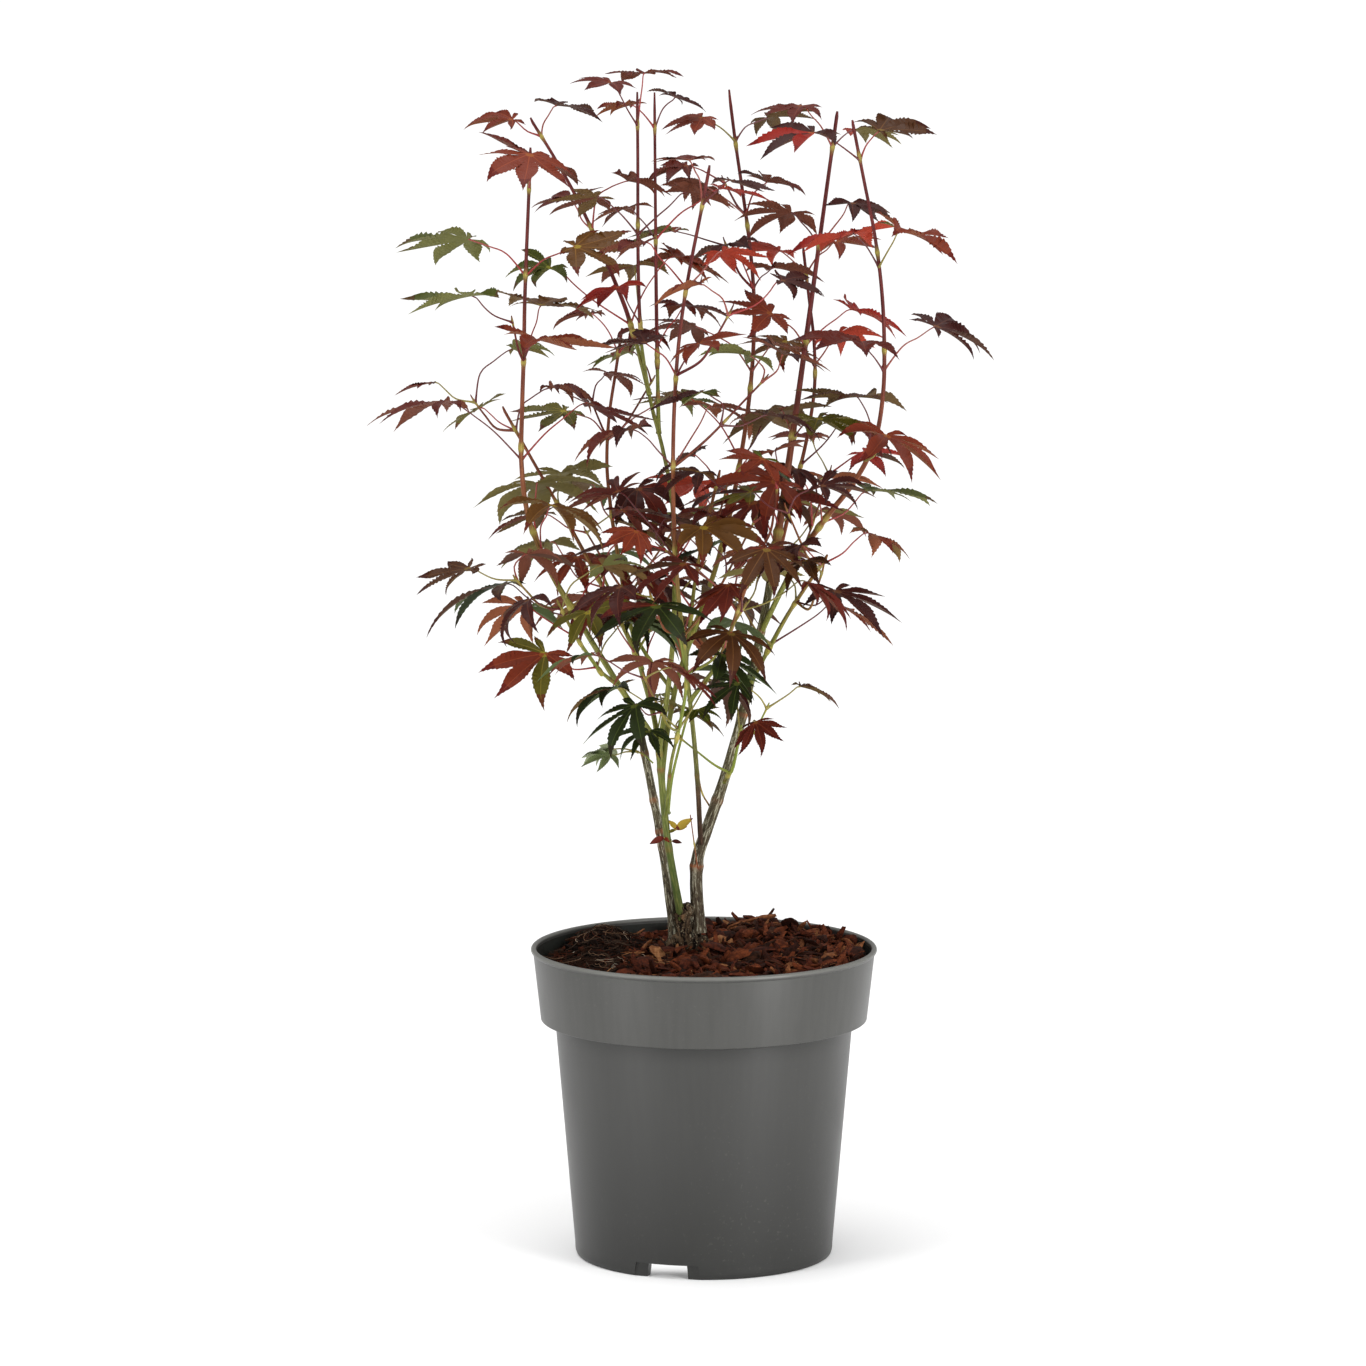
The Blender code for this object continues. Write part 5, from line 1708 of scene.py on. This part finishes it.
def tint_chances(place):
    """How likely each tint is for a leaf: greener at the upper left, redder at the top, darker low down."""
    if 0.44 < place.z < 0.56 and place.x < -0.06:
        return {"olive": 24, "bronze": 15, "wine": 19, "leaf_green": 18, "brick": 10, "scarlet": 5, "plum": 9}
    if place.z > 0.50:
        return {"wine": 38, "plum": 22, "brick": 17, "scarlet": 8, "bronze": 5, "umber": 5, "olive": 5}
    if place.z > 0.38:
        reds = {"wine": 24, "plum": 16, "brick": 18, "umber": 12, "bronze": 11}
        return {**reds, "olive": 8, "leaf_green": 5, "scarlet": 3, "deep_green": 3}
    return {"umber": 22, "brick": 22, "plum": 18, "deep_green": 14, "wine": 14, "olive": 6, "bronze": 4}


def deal_tints(place, rng):
    """A leaf's tints, lobe by lobe: mostly one, sometimes with a lobe or two of a second."""
    chances = tint_chances(place)
    main, second = rng.choices(list(chances), list(chances.values()), k=2)
    tints = [main] * 7
    if rng.random() < 0.4:
        for _ in range(rng.choice((1, 2, 3))):
            tints[rng.randrange(7)] = second
    return tints


def make_limbs(limbs):
    """Bare stems and boughs, grey or green, with their relief, scars and flared feet."""
    stacks = {"grey": Stack(), "green": Stack()}
    for index, (name, limb) in enumerate(limbs.items()):
        green, red, scars = LIMB_LOOKS.get(name, PLAIN_LOOK)
        kind, depth = ("grey", 0.16) if name in GREY_LIMBS else ("green", 0.08)
        sides, spacing = (20, 1.3) if max(limb.radii) > 1.9 * MM else (12, 2.0)
        flare = (1.0, 7) if name in CLUMP_LIMBS else (0.5, 2.2)
        add_limb(stacks[kind], limb, 0.37 * index, sides, spacing * MM, depth * MM, scars, green, red, flare)
    boughs = [name + "_bough" for name in limbs if name not in CLUMP_LIMBS]
    nodes = {"grey": ("left_stem", "right_bough"), "green": ("green_stem", *boughs)}
    finishes = {kind: old_bark(kind + "_bark", *colours) for kind, colours in BARK_COLOURS.items()}
    for kind, stack in stacks.items():
        settle(stack.make(kind + "_limbs", [finishes[kind]], BARK_CREASE), kind + "_bark", *nodes[kind])


def make_shoots(leaders, twigs, side_twigs):
    """Young shoots and side twigs with their nodes and buds, gathered for one piece."""
    rng = random.Random(SHOOT_SEED)
    stack = Stack()
    for index, (leader, twig) in enumerate(zip(leaders, twigs)):
        start, along, radius = twig.limb.at(0)
        radii = [r * 1.18 for r in (radius, *twig.limb.radii)]
        limb = Limb([start - along * 3 * MM, *twig.limb.points], radii=radii)
        tip = BARE_TIPS.get(leader.name, BARE_TIP) * MM
        add_shoot(stack, limb, [0.03, *twig.nodes], rng.uniform(-0.12, 0.12), index * 0.7, bare_tip=tip)
        add_axil_buds(stack, twig, rng)
    for index, twig in enumerate(side_twigs):
        red, seed = rng.uniform(-0.05, 0.2), 20 + index * 0.31
        add_shoot(stack, twig.limb, twig.nodes, red, seed, sides=6, bare_tip=rng.uniform(2, 5) * MM)
    return stack


def add_axil_buds(stack, twig, rng):
    for leaf in twig.leaves:
        node, bend, _ = leaf.stalk.points
        out = (bend - node).normalized()
        direction = (out * 0.45 + twig.limb.at(0.5)[1]).normalized()
        if rng.random() < 0.8:
            size = rng.uniform(0.7, 1.2)
            add_bud(stack, node + out * 1.0 * MM, direction, 2.6 * size * MM, 0.75 * size * MM)


def make_foliage(leaders, twigs, side_twigs, tints):
    """One piece of leaves for each leader. It returns all their stalks, gathered for one piece."""
    stalks = Stack()
    for leader, twig, sides in zip(leaders, twigs, side_twigs):
        rng = random.Random(LEAF_SEED + leader.seed * 13)
        stack = Stack()
        for leaf in (leaf for grown in (twig, *sides) for leaf in grown.leaves):
            heart = leaf.place.translation
            dealt = deal_tints(heart, rng)
            greens = 10 + 50 * max(0, 0.45 - heart.z) / 0.15
            stalk = rng.choices(list(STALK_TINTS), (34, 30, 22, greens))[0]
            add_stalk(stalks, leaf, stalk, rng)
            droop = rng.choices((0.05, 0.2, 0.45, 0.85), (30, 36, 24, 10))[0] * rng.uniform(0.8, 1.2)
            droop *= np.interp(heart.z, *DROOP_BY_HEIGHT)
            width = np.interp(heart.z, *WIDTH_BY_HEIGHT)
            length = leaf.length * np.interp(heart.z, *LENGTH_BY_HEIGHT)
            add_blade(stack, leaf.place, length, dealt, rng, droop, width=width)
        settle(stack.make(leader.name + "_foliage", tints, LEAF_CREASE), "foliage", leader.name + "_leaves")
    return stalks


def make_sprouts(shoots, stalks, tints):
    """Short green and red shoots with young leaves at the foot of the stems."""
    rng = random.Random(SPROUT_SEED)
    stack = Stack()
    for index, (points, thickness, redness, leaves) in enumerate(SPROUTS):
        limb = Limb(smooth_run(in_metres(points), 4 * MM), thickness * MM, thickness * 0.7 * MM)
        shares = sorted({leaf[0] for leaf in leaves}) or [0.5]
        add_shoot(shoots, limb, shares, redness, 60 + index, spacing=1.6 * MM)
        for share, turn, length, lift, tint, lobes in leaves:
            length *= MM
            node = limb.at(share)[0]
            rise = outward(turn) + upward(lift)
            if lobes == 1:
                add_leaflet(stack, node, rise, length, tint, "heart" if tint == "bronze" else "blade")
                continue
            heart = node + rise.normalized() * length * 0.75
            forward = (outward(turn) - upward(0.35)).normalized()
            place = leaf_place(forward, outward(turn), rng.uniform(-0.5, 0.5), heart)
            stalk = Limb([node, (node + heart) / 2 + upward(0.8 * MM), heart])
            add_stalk(stalks, Leaf(stalk, place, length), "stalk_rose" if redness > 0.5 else "stalk_olive", rng)
            add_blade(stack, place, length, [tint], rng, 0.25, lobes, 1.25)
    settle(stack.make("young_leaves", tints, LEAF_CREASE), "foliage")


# ---- Stage ----


def make_floor():
    deselect()
    bpy.ops.mesh.primitive_circle_add(vertices=128, radius=FLOOR_RADIUS, fill_type="NGON", location=(0, 0, 0))
    floor = set_down(bpy.context.object, "floor")
    paper = Finish("floor_paper", (249, 249, 249), 1.0, 0.1)
    paper.feed("Base Color", (0.95, 0.95, 0.95, 1))
    wear(floor, paper.material)


def add_light(name, kind, energy, place=(0, 0, 0), tilt=(0, 0, 0), **shape):
    """A light that the camera doesn't see, with its shape, place and tilt in radians."""
    light = add_object(name, bpy.data.lights.new(name, kind))
    light.data.energy = energy
    for setting, value in shape.items():
        setattr(light.data, setting, value)
    light.location = place
    light.rotation_euler = tilt
    light.visible_camera = False


def add_panel(name, turn, energy, distance, height, wide, tall, aim):
    angle = math.radians(turn)
    place = (distance * math.sin(angle), -distance * math.cos(angle), height)
    tilt = math.pi / 2 - math.atan2(height - aim, distance)
    add_light(name, "AREA", energy, place, (tilt, 0, angle), shape="RECTANGLE", size=wide, size_y=tall)


def make_light():
    world = bpy.data.worlds.new("studio")
    bpy.context.scene.world = world
    world.use_nodes = True
    sky = world.node_tree.nodes["Background"]
    sky.inputs["Color"].default_value = (1, 1, 1, 1)
    sky.inputs["Strength"].default_value = SKY_STRENGTH
    # A broad light overhead, a little to the left, keeps the paper white out to the horizon.
    tilt = (math.radians(-2), math.radians(-7), 0)
    add_light("overhead_light", "SUN", 2.35, tilt=tilt, angle=math.radians(60))
    for name, panel in PANELS.items():
        add_panel(name, *panel)
    # A faint one under the foot keeps the paper bright through the drain arch.
    add_light("under_light", "AREA", 0.035, (0, 0, FLOOR_TOP_Z - 3 * MM), size=0.10)


def make_camera():
    camera = add_object("camera", bpy.data.cameras.new("camera"))
    camera.location = CAMERA_PLACE
    camera.rotation_euler = (math.radians(90 - CAMERA_PITCH), 0, 0)
    camera.data.sensor_width = SENSOR
    camera.data.lens = FOCAL_PIXELS / FRAME_PIXELS * SENSOR
    camera.data.clip_end = 200
    bpy.context.scene.camera = camera


def make_plant():
    """Grows the plant, then makes its pieces."""
    neighbours = Neighbours()
    limbs, shoots = grow_limbs(neighbours)
    leaders = [leader for leader, _ in shoots]
    twigs = [grow_leader(leader, shoot, neighbours) for leader, shoot in shoots]
    side_twigs = [grow_side_twigs(leader, twig, neighbours, cad_box) for leader, twig in zip(leaders, twigs)]
    make_clump()
    make_limbs(limbs)
    young = make_shoots(leaders, twigs, [twig for twigs_here in side_twigs for twig in twigs_here])
    tints = leaf_finishes()
    stalks = make_foliage(leaders, twigs, side_twigs, tints)
    make_sprouts(young, stalks, tints)
    settle(young.make("shoots", [young_bark()], BARK_CREASE), "foliage")
    finishes = {name: Finish(name, colour, 0.42).material for name, colour in STALK_TINTS.items()}
    settle(stalks.make("leaf_stalks", finishes, BARK_CREASE), "foliage")


def main():
    bpy.context.scene.view_settings.view_transform = "Standard"
    make_camera()
    make_light()
    make_floor()
    make_pot()
    make_soil()
    scatter_crumbs()
    scatter_chips()
    make_plant()
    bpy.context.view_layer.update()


main()
